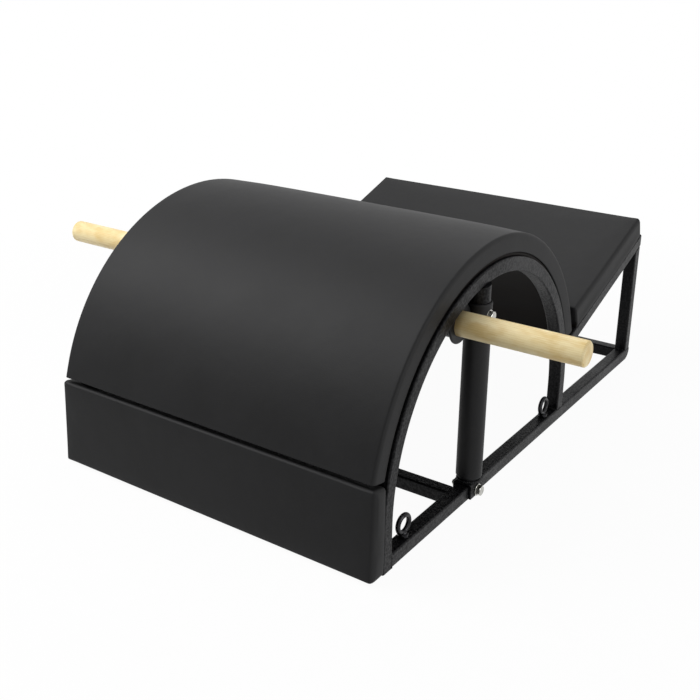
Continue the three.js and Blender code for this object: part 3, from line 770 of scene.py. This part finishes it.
def side_welds():
    """Beads where the near side's tubes meet: fillets across the tubes, and ground seams on their outer
    faces."""
    ground_y = GROUND_DEPTH - SIDE_Y - TUBE / 2
    ground_z = TUBE - GAP
    front_x = arch_low[0] + TUBE
    rear_low, rear_high = arch_high[0] - TUBE, arch_high[0]
    post_low, post_high = box("rear_post_near")
    climb = UP_SLOPE[2] / UP_SLOPE[0]
    under = post_high[2] - TUBE * climb
    slope_ends = []
    for side in (-1, 1):
        start = (SEAT_LOW * [1, 0, 1] + side * TUBE / 2 * OFF_SLOPE)[None]
        slope_ends.append((start + cope(start, UP_SLOPE, ARCH_OUTER)[:, None] * UP_SLOPE)[0])
    beads = [
        across_tube(front_x, TUBE),
        bead([[front_x, ground_y, -2 * GROUND_WELD], [front_x, ground_y, TUBE + WELD_INSET]], GROUND_WELD),
        across_tube(rear_low, TUBE),
        across_tube(rear_high, TUBE),
        bead([[rear_low, ground_y, ground_z], [rear_high, ground_y, ground_z]], GROUND_WELD),
        across_tube(post_low[0], TUBE),
        bead([[post_low[0], ground_y, ground_z], [post_high[0], ground_y, ground_z]], GROUND_WELD),
        across_tube(post_low[0], under),
        across_tube(*slope_ends[0][[0, 2]]),
        across_tube(*slope_ends[1][[0, 2]], FLUSH_WELD),
        ring_bead(at_height("post_core_near", box("foot_bracket_near")[1][2]), half("post_core_near")),
    ]
    return together(*beads)


def cross_welds():
    """Beads where the cross rails meet the sides: upright on both faces of each rail, and along its top."""
    beads = []
    for node in CROSS_RAILS:
        forward, up = section_axes(node)
        for side in (-1, 1):
            end = middle(node) + side * ALONG_Y * (SIDE_Y - TUBE / 2)
            rise = up * (TUBE / 2 - WELD_INSET)
            run = forward * (TUBE / 2 - WELD_INSET)
            for face in (-1, 1):
                foot = end + face * forward * TUBE / 2
                beads.append(bead([foot - rise, foot + rise], phase=face))
            beads.append(bead([end + up * TUBE / 2 - run, end + up * TUBE / 2 + run], FLUSH_WELD))
    return together(*beads)


def welds():
    near = side_welds()
    piece("side_welds_near", near, "steel")
    piece("side_welds_far", mirrored(near), "steel")
    piece("cross_rail_welds", cross_welds(), "steel")


# Pads: each is made lying flat on its back, with u along it, v across it and w up from its back

EDGE_TURNS = 4
SHARED_STEP = 9 * MM
WALL_STEP = 5 * MM
DRAW_IN = 0.6 * MM
DRAW_SHARE = 0.6
COVER_FRAMES = 20
COVER = {
    "use_pressure": True,
    "uniform_pressure_force": 4.0,
    "tension_stiffness": 40.0,
    "compression_stiffness": 40.0,
    "shear_stiffness": 20.0,
    "bending_stiffness": 4.0,
}


def grid_lines(length, low, high, step):
    """Places of grid lines from zero to a length. Within an edge radius of either end they stand at one
    less the tangent of equal angles, which rounding spreads evenly round the edge, and between the edges
    evenly."""
    share = 1 - np.tan(np.linspace(np.pi / 4, 0, EDGE_TURNS + 1))
    count = max(2, round((length - low - high) / step))
    flat = np.linspace(low, length - high, count + 1)[1:-1]
    return np.concatenate([low * share, flat, (length - high * share)[::-1]])


def block_grid(counts):
    """The six sides of a block of grid cells, as whole-number places and quads that share their edges'
    points."""
    quads = []
    for axis in range(3):
        a, b = [k for k in range(3) if k != axis]
        i, j = np.meshgrid(np.arange(counts[a]), np.arange(counts[b]), indexing="ij")
        for at_end in (0, 1):
            loop = []
            for da, db in ((0, 0), (1, 0), (1, 1), (0, 1)):
                place = np.empty(i.shape + (3,), int)
                place[..., axis] = counts[axis] * at_end
                place[..., a] = i + da
                place[..., b] = j + db
                loop.append(place)
            side = np.stack(loop, 2).reshape(-1, 4, 3)
            quads.append(side[:, ::-1] if at_end == (axis == 1) else side)
    every = np.concatenate(quads).reshape(-1, 3)
    places, index = np.unique(every, axis=0, return_inverse=True)
    return places, index.reshape(-1, 4)


def rounded_block(size, low, high, steps):
    """A block with elliptical edges. A point of the plain block is measured from the nearest point of an
    inner block, each way in units of that edge's radius, and brought to one unit's distance."""
    lines = [grid_lines(*row) for row in zip(size, low, high, steps)]
    places, quads = block_grid([len(line) - 1 for line in lines])
    points = np.column_stack([line[places[:, k]] for k, line in enumerate(lines)])
    inner = np.clip(points, low, np.subtract(size, high))
    radius = np.where(points < inner, low, high)
    out = (points - inner) / radius
    points = inner + radius * out / np.linalg.norm(out, axis=1)[:, None]
    return places, points, quads


def inflated(points, quads, held, limit):
    """The skin blown up by its own pressure for twenty frames of cloth simulation, with the held points
    pinned. A point moves by the limit times the hyperbolic tangent of its free move over the limit."""
    work = object_of((points, [quads]), "work")
    group = work.vertex_groups.new(name="held")
    group.add(np.flatnonzero(held).tolist(), 1.0, "ADD")
    cloth = work.modifiers.new("Cloth", "CLOTH")
    cloth.settings.vertex_group_mass = "held"
    for name, value in COVER.items():
        setattr(cloth.settings, name, value)
    cloth.settings.effector_weights.gravity = 0.0
    cloth.point_cache.frame_start, cloth.point_cache.frame_end = 1, COVER_FRAMES
    for step in range(1, COVER_FRAMES + 1):
        bpy.context.scene.frame_set(step)
    blown = work.evaluated_get(bpy.context.evaluated_depsgraph_get()).to_mesh()
    move = points_of(blown) - points
    bpy.context.scene.frame_set(1)
    discard(work)
    size = np.maximum(np.linalg.norm(move, axis=1), 1e-9)[:, None]
    return points + move * limit * np.tanh(size / limit) / size


def cushion(length, width, height, crown, edges, swell):
    """A firm pad lying on its back. A block with rounded edges, whose radii are given at its ends, its
    sides, its face and its back, is drawn in towards its back. Its face rises in a low crown by the product
    of two falling fourth powers, and its cover is then blown up by a little."""
    full = np.array([length, width, height])
    size = full - [2 * swell, 2 * swell, crown + swell]
    high = np.array(edges[:3])
    low = np.array([edges[0], edges[1], edges[3]])
    places, points, quads = rounded_block(size, low, high, (SHARED_STEP, SHARED_STEP, WALL_STEP))
    points += [swell, swell, 0]
    centred = points[:, :2] / full[:2] * 2 - 1
    rise = np.clip(points[:, 2] / size[2], 0, 1)
    points[:, 2] += crown * rise * (1 - centred[:, 0] ** 4) * (1 - centred[:, 1] ** 4)
    pull = DRAW_IN * np.clip(1 - rise / DRAW_SHARE, 0, 1) ** 2
    points[:, :2] -= pull[:, None] * np.sign(centred) * np.abs(centred) ** 3
    points = inflated(points, quads, places[:, 2] == 0, swell)
    points[:, 1] -= width / 2
    return modified((points, [quads]), "SUBSURF", levels=1, render_levels=1)


ARCH_CROWN = 1.2 * MM
SEAT_CROWN = 3.0 * MM
ARCH_EDGES = (2.0 * MM, 4.0 * MM, 7.0 * MM, 1.2 * MM)
FRONT_EDGES = (5.5 * MM, 5.0 * MM, 10.0 * MM, 1.9 * MM)
SEAT_EDGES = (4.0 * MM, 5.0 * MM, 9.0 * MM, 4.5 * MM)
FRONT_TAPER = 5.5 * MM
FRONT_BULGE = 3.2 * MM
FRONT_RISE = 1.0 * MM
SEAT_REACH = 5.0 * MM
PAD_SHARP = 60
ARCH_SWELL = 0.6 * MM
SEAT_SWELL = 1.0 * MM


def bent(flat, start, inner, outer):
    """A flat shape bent round the arch: its length turns into an angle from the start, and its height into
    a distance from the arch's centre. The length is true at the outer distance."""
    points, faces = flat
    angle = start + points[:, 0] / outer
    radius = inner + points[:, 2]
    points = np.column_stack([-radius * np.cos(angle), points[:, 1], radius * np.sin(angle)]) + ARCH_CENTRE
    return points, facing_out(points, faces)


def arch_pad():
    start, end, inner, outer = round_arch("arch_pad")
    size = outer * (end - start), 2 * half("arch_pad", 1), outer - inner
    flat = cushion(*size, ARCH_CROWN, ARCH_EDGES, ARCH_SWELL)
    pad = replace("arch_pad", bent(flat, start, inner, outer), "vinyl", PAD_SHARP)


def pocket(node, axes):
    """A block that holds a board's space, wider by twice the gap, and open past the back of its pad, which
    its first direction leads away from."""
    spans = spans_of(node, axes) + [-2 * GAP, 2 * GAP]
    spans[0, 0] -= OVERRUN
    size = np.ptp(spans, axis=1)
    _, *centre = spans.mean(1)
    path = spans[0][:, None] * axes[0] + centre[0] * axes[1] + centre[1] * axes[2]
    outline = rounded_outline(size[1], size[2], GAP, 1)
    return carried(path, axes[1], axes[2], outline)


def front_pad():
    """The flat pad stood upright. Its w becomes depth towards the front, less by a taper that grows evenly
    with height. Its u becomes height, shortened towards the back so that its top end points at the arch's
    centre. Its sides bulge a little past the frame's."""
    low, high = box("front_pad")
    height, thickness = high[2] - low[2] + FRONT_RISE, high[0] - low[0]
    lean = (high[2] - ARCH_Z) / (ARCH_X - low[0]) / height
    width = high[1] - low[1] + 2 * FRONT_BULGE
    flat, faces = cushion(height, width, thickness, ARCH_CROWN, FRONT_EDGES, ARCH_SWELL)
    flat[:, 2] *= 1 - FRONT_TAPER / thickness * flat[:, 0] / height
    up = low[2] + flat[:, 0] * (1 - (thickness - flat[:, 2]) * lean)
    points = np.column_stack([high[0] - flat[:, 2], flat[:, 1], up])
    hollow = pocket("front_board", (-ALONG_X, ALONG_Y, ALONG_Z))
    pad = replace("front_pad", cut((points, facing_out(points, faces)), hollow), "vinyl", PAD_SHARP)


def seat_pad():
    """The flat pad laid on the slope, its cover bulging past the board at the high end."""
    axes = (UP_SLOPE, ALONG_Y, OFF_SLOPE)
    spans = spans_of("seat_pad", axes)
    size = np.ptp(spans, axis=1) + [SEAT_REACH, 0, 0]
    flat = cushion(*size, SEAT_CROWN, SEAT_EDGES, SEAT_SWELL)
    origin = spans[0, 0] * UP_SLOPE + spans[2, 0] * OFF_SLOPE
    hollow = pocket("seat_board", (OFF_SLOPE, UP_SLOPE, ALONG_Y))
    pad = replace("seat_pad", cut(stood(flat, origin, axes), hollow), "vinyl", PAD_SHARP)


# Boards

BOARD_EDGE = 0.8 * MM


def board(size):
    """A board with lightly eased edges, lying from zero along its length and height and centred across."""
    ease = np.full(3, BOARD_EDGE)
    _, points, quads = rounded_block(size, ease, ease, (SHARED_STEP, 4 * SHARED_STEP, WALL_STEP))
    points[:, 1] -= size[1] / 2
    return points, [quads]


def arch_board():
    """A board bent to lie on the arch tubes."""
    start, end, _, outer = round_arch("arch_board")
    inner = ARCH_OUTER + GAP
    size = np.array([outer * (end - start), 2 * half("arch_board", 1), outer - inner])
    replace("arch_board", bent(board(size), start, inner, outer), "ply")


FLAT_BOARDS = {
    "front_board": (ALONG_Z, ALONG_Y, -ALONG_X),
    "seat_board": (UP_SLOPE, ALONG_Y, OFF_SLOPE),
}


def flat_boards():
    for node, axes in FLAT_BOARDS.items():
        spans = spans_of(node, axes)
        origin = spans[0, 0] * axes[0] + spans[2, 0] * axes[2]
        replace(node, stood(board(np.ptp(spans, axis=1)), origin, axes), "ply")


# Posts, sleeves and foot brackets

SLEEVE_NOSE = 2 * MM
WASHER_ACCESS = 0.8 * MM


def post_cores():
    """A round tube whose top ring follows the inside of the arch."""
    low, _ = box("post_core_near")
    centre, radius = middle("post_core_near"), half("post_core_near")
    turn = full_turn(72)
    x, y = centre[0] + radius * np.cos(turn), centre[1] + radius * np.sin(turn)
    top = ARCH_Z + np.sqrt((ARCH_INNER - GAP) ** 2 - (x - ARCH_X) ** 2)
    core = cut(upright(x, y, low[2], top), bolt_hole("socket", centre[1], 4 * radius))
    replace_pair("post_core", core, "steel")


def post_sleeves():
    """A foam tube turned about its post, with round noses at both ends and holes for the socket's bolt."""
    low, high = box("post_sleeve_near")
    centre, radius, length = middle("post_sleeve_near"), half("post_sleeve_near"), high[2] - low[2]
    bore = half("post_core_near") + GAP
    nose = SLEEVE_NOSE
    profile = np.vstack([
        [[bore, nose / 2], [bore + nose / 4, 0]],
        curve((radius - nose, nose), nose, -90, 0),
        [[radius, 2 * nose], [radius, length - 2 * nose]],
        curve((radius - nose, length - nose), nose, 0, 90),
        [[bore + nose / 4, length], [bore, length - nose / 2]],
    ])
    sleeve = stood(turned(profile, 96, loop=True), at_height("post_sleeve_near", low[2]), np.eye(3))
    outside = at_depth("socket_bolt_near", centre[1] - radius)
    access = drill(outside, ALONG_Y, half("socket_washer_near") + WASHER_ACCESS, 2 * radius)
    sleeve = cut(sleeve, bolt_hole("socket", centre[1], 4 * radius), access)
    replace_pair("post_sleeve", sleeve, "rubber", 50)


PLATE = 3.5 * MM
PLATE_EDGE = 0.6 * MM


def foot_brackets():
    """A saddle over the base rail: a strip's rounded section carried up one side, across the top and down
    the other, round two tight bends."""
    low, high = box("foot_bracket_near")
    centre = (low + high) / 2
    side, top, bend = (high[1] - low[1] - PLATE) / 2, high[2] - PLATE / 2, PLATE / 2 + 2 * GAP
    line = np.vstack([[[side, low[2]]], curve((side - bend, top - bend), bend, 0, 90, 8),
                      curve((bend - side, top - bend), bend, 90, 180, 8), [[-side, low[2]]]])
    tangent = np.gradient(line, axis=0)
    tangent[:2], tangent[-2:] = (0, 1), (0, -1)
    tangent /= np.linalg.norm(tangent, axis=1)[:, None]
    normal = np.column_stack([0 * tangent[:, 0], tangent[:, 1], -tangent[:, 0]])
    path = np.column_stack([0 * line[:, 0], line[:, 0], line[:, 1]]) + centre * [1, 1, 0]
    strip = carried(path, normal, ALONG_X, rounded_outline(PLATE, high[0] - low[0], PLATE_EDGE, 3))
    strip = cut(strip, bolt_hole("foot", centre[1], 2 * (high[1] - low[1])))
    replace_pair("foot_bracket", strip, "steel")


# Handle rod, its bushes and sockets

ROD_CHAMFER = 2 * MM
SOCKET_WALL = 1.8 * MM
SOCKET_LENGTH = 32 * MM
EAR = 4 * MM
EAR_HEIGHT = 30 * MM
BUSH_FLANGE = 3.5 * MM
SMALL_EDGE = 0.5 * MM

ROD_CENTRE = middle("handle_rod")
ROD_RADIUS = half("handle_rod", 2)
SOCKET_OUTER = half("handle_socket_near", 2)
ABOUT_Y = [ALONG_Z, ALONG_X, ALONG_Y]


def handle_rod():
    """A dowel turned about Y, with a small chamfer at each end whose corners are eased."""
    end_y, ease = half("handle_rod", 1), ROD_CHAMFER / 4
    end = np.array([
        [ROD_RADIUS - ROD_CHAMFER - ease, 0], [ROD_RADIUS - ROD_CHAMFER, ease / 3],
        [ROD_RADIUS - ROD_CHAMFER + ease, ease], [ROD_RADIUS - ease, ROD_CHAMFER - ease],
        [ROD_RADIUS - ease / 4, ROD_CHAMFER], [ROD_RADIUS, ROD_CHAMFER + ease],
    ])
    profile = np.vstack([end - [0, end_y], (end * [1, -1] + [0, end_y])[::-1]])
    replace("handle_rod", stood(turned(profile, 96), ROD_CENTRE, ABOUT_Y), "beech", 50)


def handle_bushes():
    """A flanged bush turned about the rod, its flange's rim rounded over."""
    length, flange_radius = 2 * half("handle_bush_near", 1), half("handle_bush_near")
    bore, ease = ROD_RADIUS + GAP, BUSH_FLANGE / 2
    body = SOCKET_OUTER - SOCKET_WALL - GAP
    profile = np.vstack([
        [[bore, SMALL_EDGE], [bore + SMALL_EDGE, 0]],
        curve((flange_radius - ease, ease), ease, -90, 90, 10),
        [[body + SMALL_EDGE, BUSH_FLANGE], [body, BUSH_FLANGE + SMALL_EDGE]],
        [[body, length], [bore, length]],
    ])
    face = at_depth("handle_rod", box("handle_bush_near")[0][1])
    bush = stood(turned(profile, 96, loop=True), face, ABOUT_Y)
    replace_pair("handle_bush", bush, "nylon", 40)


def handle_sockets():
    """A short pipe round the bush, welded to a flat ear that reaches back behind the post: the ear's
    outline ends in a half circle about its bolt."""
    start = box("handle_socket_near")[0][1]
    bore = SOCKET_OUTER - SOCKET_WALL
    edge = SMALL_EDGE
    sleeve = pipe(bore, SOCKET_OUTER, SOCKET_LENGTH, edge, 96)
    sleeve = stood(sleeve, at_depth("handle_rod", start), ABOUT_Y)
    ear_end = box("socket_nut_near")[0][1] - GAP
    back = middle("socket_bolt_near")[0] - ROD_CENTRE[0]
    tip = curve((back, 0), EAR_HEIGHT / 2, -90, 90, 24)
    outline = np.vstack([[[0, -EAR_HEIGHT / 2]], tip, [[0, EAR_HEIGHT / 2]]])
    towards = outline - outline.mean(0)
    inset = outline - towards / np.linalg.norm(towards, axis=1)[:, None] * edge
    levels = ((inset, 0), (outline, edge), (outline, EAR - edge), (inset, EAR))
    rings = np.stack([np.column_stack([ROD_CENTRE[0] + flat[:, 0], ear_end - EAR + y + 0 * flat[:, 0],
                                       ROD_CENTRE[2] + flat[:, 1]]) for flat, y in levels])
    centre = at_depth("handle_rod", start + SOCKET_LENGTH / 2)
    opening = drill(centre, ALONG_Y, bore + edge, 2 * SOCKET_LENGTH)
    ear = cut(skin(rings), opening, bolt_hole("socket", ear_end, 4 * EAR))
    reach_up = math.degrees(math.asin(0.9 * EAR_HEIGHT / 2 / SOCKET_OUTER))
    seam = curve(ROD_CENTRE[[0, 2]], SOCKET_OUTER, -reach_up, reach_up, 16)
    seams = [bead(np.column_stack([seam[:, 0], 0 * seam[:, 0] + y, seam[:, 1]]))
             for y in (ear_end - EAR, ear_end)]
    replace_pair("handle_socket", together(joined(sleeve, ear), *seams), "steel")


# Fasteners, each made with its axis along Z and the underside of its head at zero

HEAD_HEIGHT = 5.3 * MM
BOLT_RADIUS = 4 * MM
THREAD_PITCH = 1.25 * MM
THREAD_DEPTH = 0.65 * MM
THREAD_LENGTH = 16 * MM
HEX_TURN = full_turn(72)
HEX_FACE = 0.475


def hex_rings(flats, low, high, chamfer_low=True):
    """Rings up a hexagon, whose outline lies half the flats over the cosine of the angle to the nearest
    flat's middle from its centre. Its ends are chamfered by a cone: a corner, which lies further out than
    the end's circle, starts lower by the tangent of thirty degrees."""
    out = flats / 2 / np.cos(HEX_TURN % (np.pi / 3) - np.pi / 6)
    face = HEX_FACE * flats
    drop = (out - face) * math.tan(math.radians(30))
    rows = [(face, low), (out, low + drop)] if chamfer_low else [(out, low)]
    rows += [(out, high - drop), (face, high)]
    return [about_z(radius, height, HEX_TURN) for radius, height in rows]


def helix(height, pitch, turn, depth):
    """The depth of a thread's groove: a triangle wave of the turns that height and angle together make."""
    phase = (height / pitch - turn / (2 * np.pi)) % 1
    return depth * (1 - np.abs(2 * phase - 1))


def thread(length, radius):
    """A bolt's shank down from zero, with a groove round its threaded end. Over its last turn the radius
    falls by a fifth."""
    start = max(0.0, length - THREAD_LENGTH)
    down = np.linspace(start, length, int((length - start) / THREAD_PITCH * 8))
    z = np.concatenate([[HEAD_HEIGHT / 2], -down])[:, None]
    groove = helix(z, THREAD_PITCH, HEX_TURN, THREAD_DEPTH)
    fade = np.clip((-z - start) / THREAD_PITCH, 0, 1)
    point = np.clip((length + z) / THREAD_PITCH, 0, 1)
    return skin(about_z((radius - groove * fade) * (0.8 + 0.2 * point), z, HEX_TURN))


def hex_bolt(flats, length):
    """A hexagon head with a washer face under it, on a threaded shank."""
    edge = 0.47 * flats
    face = turned([[edge, 0], [edge, 0.4 * MM]], len(HEX_TURN))
    head = skin(np.stack(hex_rings(flats, 0.3 * MM, HEAD_HEIGHT, chamfer_low=False)))
    return joined(joined(head, face), thread(length, BOLT_RADIUS))


def hex_nut(flats, height):
    """A hexagon chamfered at both ends, with a bore whose ends are countersunk."""
    bore = BOLT_RADIUS + 2 * GAP / 3
    sink = 0.6 * MM
    inner = [about_z(*row, HEX_TURN) for row in
             ((bore + sink, height), (bore, height - sink), (bore, sink), (bore + sink, 0))]
    return skin(np.stack(hex_rings(flats, 0, height) + inner), loop=True)


def plain_washer(radius, thickness):
    return pipe(BOLT_RADIUS + GAP, radius, thickness, thickness / 6, 72)


def bolt_sets():
    """Bolts, washers and nuts on their CAD places. A head faces outwards, and the far side mirrors the
    near."""
    for name, spin in (("foot", 17), ("socket", 41)):
        bolt_node, washer_node, nut_node = [f"{name}_{kind}_near" for kind in ("bolt", "washer", "nut")]
        low, high = box(bolt_node)
        flats = 2 * min(half(bolt_node, 2), half(bolt_node))
        seat_y = low[1] + HEAD_HEIGHT
        bolt = aimed(hex_bolt(flats, high[1] - seat_y), at_depth(bolt_node, seat_y), -ALONG_Y, spin)
        replace_pair(f"{name}_bolt", bolt, "zinc", 25)
        washer = plain_washer(half(washer_node), 2 * half(washer_node, 1))
        washer = aimed(washer, at_depth(bolt_node, box(washer_node)[0][1]), ALONG_Y)
        replace_pair(f"{name}_washer", washer, "zinc", 30)
        nut = hex_nut(flats, 2 * half(nut_node, 1))
        nut = aimed(nut, at_depth(bolt_node, box(nut_node)[0][1]), ALONG_Y, spin * 2)
        replace_pair(f"{name}_nut", nut, "zinc", 25)


SCREW_RADIUS = 2.4 * MM
SCREW_HEAD = 5 * MM
SCREW_HEAD_HEIGHT = 3 * MM
SCREW_PITCH = 1.8 * MM
SCREW_GROOVE = 0.5 * MM
CROSS_DEPTH = 1.7 * MM


def pan_screw(length):
    """A pan head on a coarse thread. The head's side follows a circle up to a low top, with a tapered cross
    cut into it, and the shank narrows to a point over its last two radii."""
    dome = SCREW_HEAD_HEIGHT
    rim = 0.55 * dome
    profile = np.vstack([[[SCREW_RADIUS * 0.6, 0], [SCREW_HEAD - 0.2 * MM, 0]],
                         curve((SCREW_HEAD - rim, dome - rim * 1.15), rim, 0, 78, 8),
                         [[1.2 * MM, dome - 0.02 * MM]]])
    arm = np.array([[-2.6, -0.55], [2.6, -0.55], [2.6, 0.55], [-2.6, 0.55]]) * MM
    tip = arm * [0.45, 0.7]
    blades = []
    for axes in ([ALONG_X, ALONG_Y, ALONG_Z], [ALONG_Y, ALONG_X, ALONG_Z]):
        rings = np.stack([np.column_stack([flat, np.full(4, z)]) for flat, z in
                          ((tip, dome - CROSS_DEPTH), (arm, dome + 0.2 * MM))])
        blades.append(stood(skin(rings), 0, axes))
    turn = full_turn(28)
    z = -np.linspace(-dome / 3, length, int(length / SCREW_PITCH * 7))[:, None]
    taper = np.clip((length + z) / (2 * SCREW_RADIUS), 0.08, 1)
    out = (SCREW_RADIUS - helix(z, SCREW_PITCH, turn, SCREW_GROOVE)) * taper
    return joined(cut(turned(profile, 56), *blades), skin(about_z(out, z, turn)))


# Each board, the ends of its screws' names, and the way that their heads face: the arch's face its centre
SCREWS = (
    ("arch", ("near_1", "near_2", "far_1", "far_2"), None),
    ("front", (1, 2, 3, 4), ALONG_X),
    ("seat", (1, 2, 3, 4), -OFF_SLOPE),
)


def screws():
    """Every screw's head faces away from the board that it holds."""
    for board_name, ends, towards in SCREWS:
        nodes = [f"{board_name}_screw_{end}" for end in ends]
        shape = pan_screw(screw_axis(nodes[0])[2] - SCREW_HEAD_HEIGHT)
        for place, node in enumerate(nodes):
            direction = (ARCH_CENTRE - middle(node)) * [1, 0, 1] if towards is None else towards
            direction = direction / np.linalg.norm(direction)
            top = spans_of(node, [direction])[0, 1]
            centre = screw_axis(node)[0]
            seat = centre + direction * (top - SCREW_HEAD_HEIGHT - centre @ direction)
            replace(node, aimed(shape, seat, direction, 37 * place), "black_zinc", 30)


# Eye rings

EYE_RING = 11.6 * MM
EYE_WIRE = 3.3 * MM
EYE_RISE = 18 * MM
EYE_COLLAR = 7 * MM
EYE_COLLAR_HEIGHT = 5 * MM
EYE_SHANK = 13 * MM
EYE_FILLET = 1.6 * MM
EYE_TURNS = {"front": 86, "rear": 90}


def eye_ring():
    """A ring of round wire above its collar: a small circle carried round a large one, joined to a turned
    neck, collar and shank."""
    out = about_z(1, 0, full_turn(72))[:, [0, 2, 1]]
    wire = curve((0, 0), EYE_WIRE, 0, 360, 24)[:-1]
    ring = carried(EYE_RING * out + ALONG_Z * EYE_RISE, out, ALONG_Y, wire, loop=True)
    edge = 0.8 * MM
    neck = EYE_RISE - EYE_RING
    stem = turned(np.vstack([
        [[BOLT_RADIUS - edge, -EYE_SHANK], [BOLT_RADIUS, edge - EYE_SHANK], [BOLT_RADIUS, GAP]],
        [[EYE_COLLAR - edge, GAP], [EYE_COLLAR, GAP + edge]],
        [[EYE_COLLAR, EYE_COLLAR_HEIGHT - edge], [EYE_COLLAR - edge, EYE_COLLAR_HEIGHT]],
        curve((BOLT_RADIUS + EYE_FILLET, EYE_COLLAR_HEIGHT + EYE_FILLET), EYE_FILLET, 270, 190, 5),
        [[BOLT_RADIUS - edge, neck + 0.6 * MM]],
    ]), 56)
    return joined(ring, stem)


def eye_rings():
    shape = eye_ring()
    for end, spin in EYE_TURNS.items():
        place = at_height(f"eye_ring_{end}_near", TUBE)
        replace_pair(f"eye_ring_{end}", aimed(shape, place, ALONG_Z, spin), "black_zinc", 40)


arch_tubes()
base_rails()
rear_posts()
slope_rails()
cross_rails()
welds()
arch_pad()
front_pad()
seat_pad()
arch_board()
flat_boards()
post_cores()
post_sleeves()
foot_brackets()
handle_rod()
handle_bushes()
handle_sockets()
bolt_sets()
screws()
eye_rings()


# Floor, backdrop, light and camera

FLOOR_SIZE = 40.0
NEAR_SHARE = 0.96
SHADOW_CENTRE = middle("seat_board") * [0.5, 0, 0]
SHADOW_REACH = 0.75
SHADOW_END = 1.3


def seen_white(tree):
    """One for rays that show the backdrop itself, straight, in a reflection or through glass, and zero for
    rays that gather light."""
    ray = add(tree, "ShaderNodeLightPath").outputs
    mirror = reckoned(tree, "MAXIMUM", ray["Is Glossy Ray"], ray["Is Transmission Ray"])
    return reckoned(tree, "MAXIMUM", ray["Is Camera Ray"], mirror)


def studio_floor():
    """A pale floor. To the camera and in reflections most of it is plain white and the rest is lit, which
    keeps a faint shadow, and the share of white rises to all of it past the shadow's reach."""
    made, tree, place = material("pale_studio_floor")
    tone = ramp(tree, noise(tree, place, 25), (0.3, "#dedede"), (0.7, "#e4e4e4"))
    lit = add(tree, "ShaderNodeBsdfDiffuse", {"Color": tone})
    white = add(tree, "ShaderNodeEmission", {"Strength": 1.0})
    gone = add(tree, "ShaderNodeVectorMath", {0: place, 1: SHADOW_CENTRE},
               operation="DISTANCE").outputs["Value"]
    plain = span(tree, gone, NEAR_SHARE, 1.0, SHADOW_REACH, SHADOW_END)
    share = reckoned(tree, "MULTIPLY", seen_white(tree), plain)
    mix = add(tree, "ShaderNodeMixShader", {0: share, 1: lit.outputs[0], 2: white.outputs[0]})
    add(tree, "ShaderNodeOutputMaterial", {"Surface": mix.outputs[0]})
    square = np.array([[-1, -1, 0], [1, -1, 0], [1, 1, 0], [-1, 1, 0]]) * FLOOR_SIZE / 2
    floor = object_of((square, [np.array([[0, 1, 2, 3]])]), "studio_floor")
    floor.data.materials.append(made)
    floor.location.z = -GAP


def studio_world(strength):
    """Plain soft light all round, with a white backdrop for the camera and in reflections."""
    world = bpy.data.worlds.new("studio")
    bpy.context.scene.world = world
    world.use_nodes = True
    tree = world.node_tree
    tree.nodes.clear()
    soft = add(tree, "ShaderNodeBackground", {"Color": linear("#ffffff"), "Strength": strength})
    white = add(tree, "ShaderNodeBackground", {"Color": linear("#ffffff"), "Strength": 1.0})
    mix = add(tree, "ShaderNodeMixShader", {0: seen_white(tree), 1: soft.outputs[0], 2: white.outputs[0]})
    add(tree, "ShaderNodeOutputWorld", {"Surface": mix.outputs[0]})


LIGHT_TARGET = (0.1, 0.0, 0.2)


def soft_box(name, place, size, power):
    """A square lamp at a place, turned to face the middle of the object."""
    lamp = bpy.data.lights.new(name, "AREA")
    lamp.shape, lamp.size, lamp.energy = "SQUARE", size, power
    item = bpy.data.objects.new(name, lamp)
    bpy.context.scene.collection.objects.link(item)
    item.location = place
    away = Vector(place) - Vector(LIGHT_TARGET)
    item.rotation_euler = away.to_track_quat("Z", "Y").to_euler()


CAMERA_PLACE = (-1.0804, -0.8063, 0.7234)
CAMERA_TURN = (70.581, -0.880, -55.770)
CAMERA_LENS = 52.55
CAMERA_SHIFT = (-0.0049, -0.0799)


def camera():
    data = bpy.data.cameras.new("camera")
    data.lens, data.sensor_width = CAMERA_LENS, 36.0
    data.shift_x, data.shift_y = CAMERA_SHIFT
    item = bpy.data.objects.new("camera", data)
    bpy.context.scene.collection.objects.link(item)
    item.location = CAMERA_PLACE
    item.rotation_euler = [math.radians(turn) for turn in CAMERA_TURN]
    bpy.context.scene.camera = item


studio_floor()
studio_world(0.25)
soft_box("far_light", (-0.8, 1.2, 1.8), 1.2, 35.0)
soft_box("high_light", (-0.6, 0.3, 2.0), 1.0, 10.0)
soft_box("back_light", (1.3, 0.3, 1.9), 1.0, 7.0)
soft_box("side_light", (0.3, -2.4, 0.7), 1.2, 18.0)
camera()
bpy.context.scene.view_settings.view_transform = "Standard"
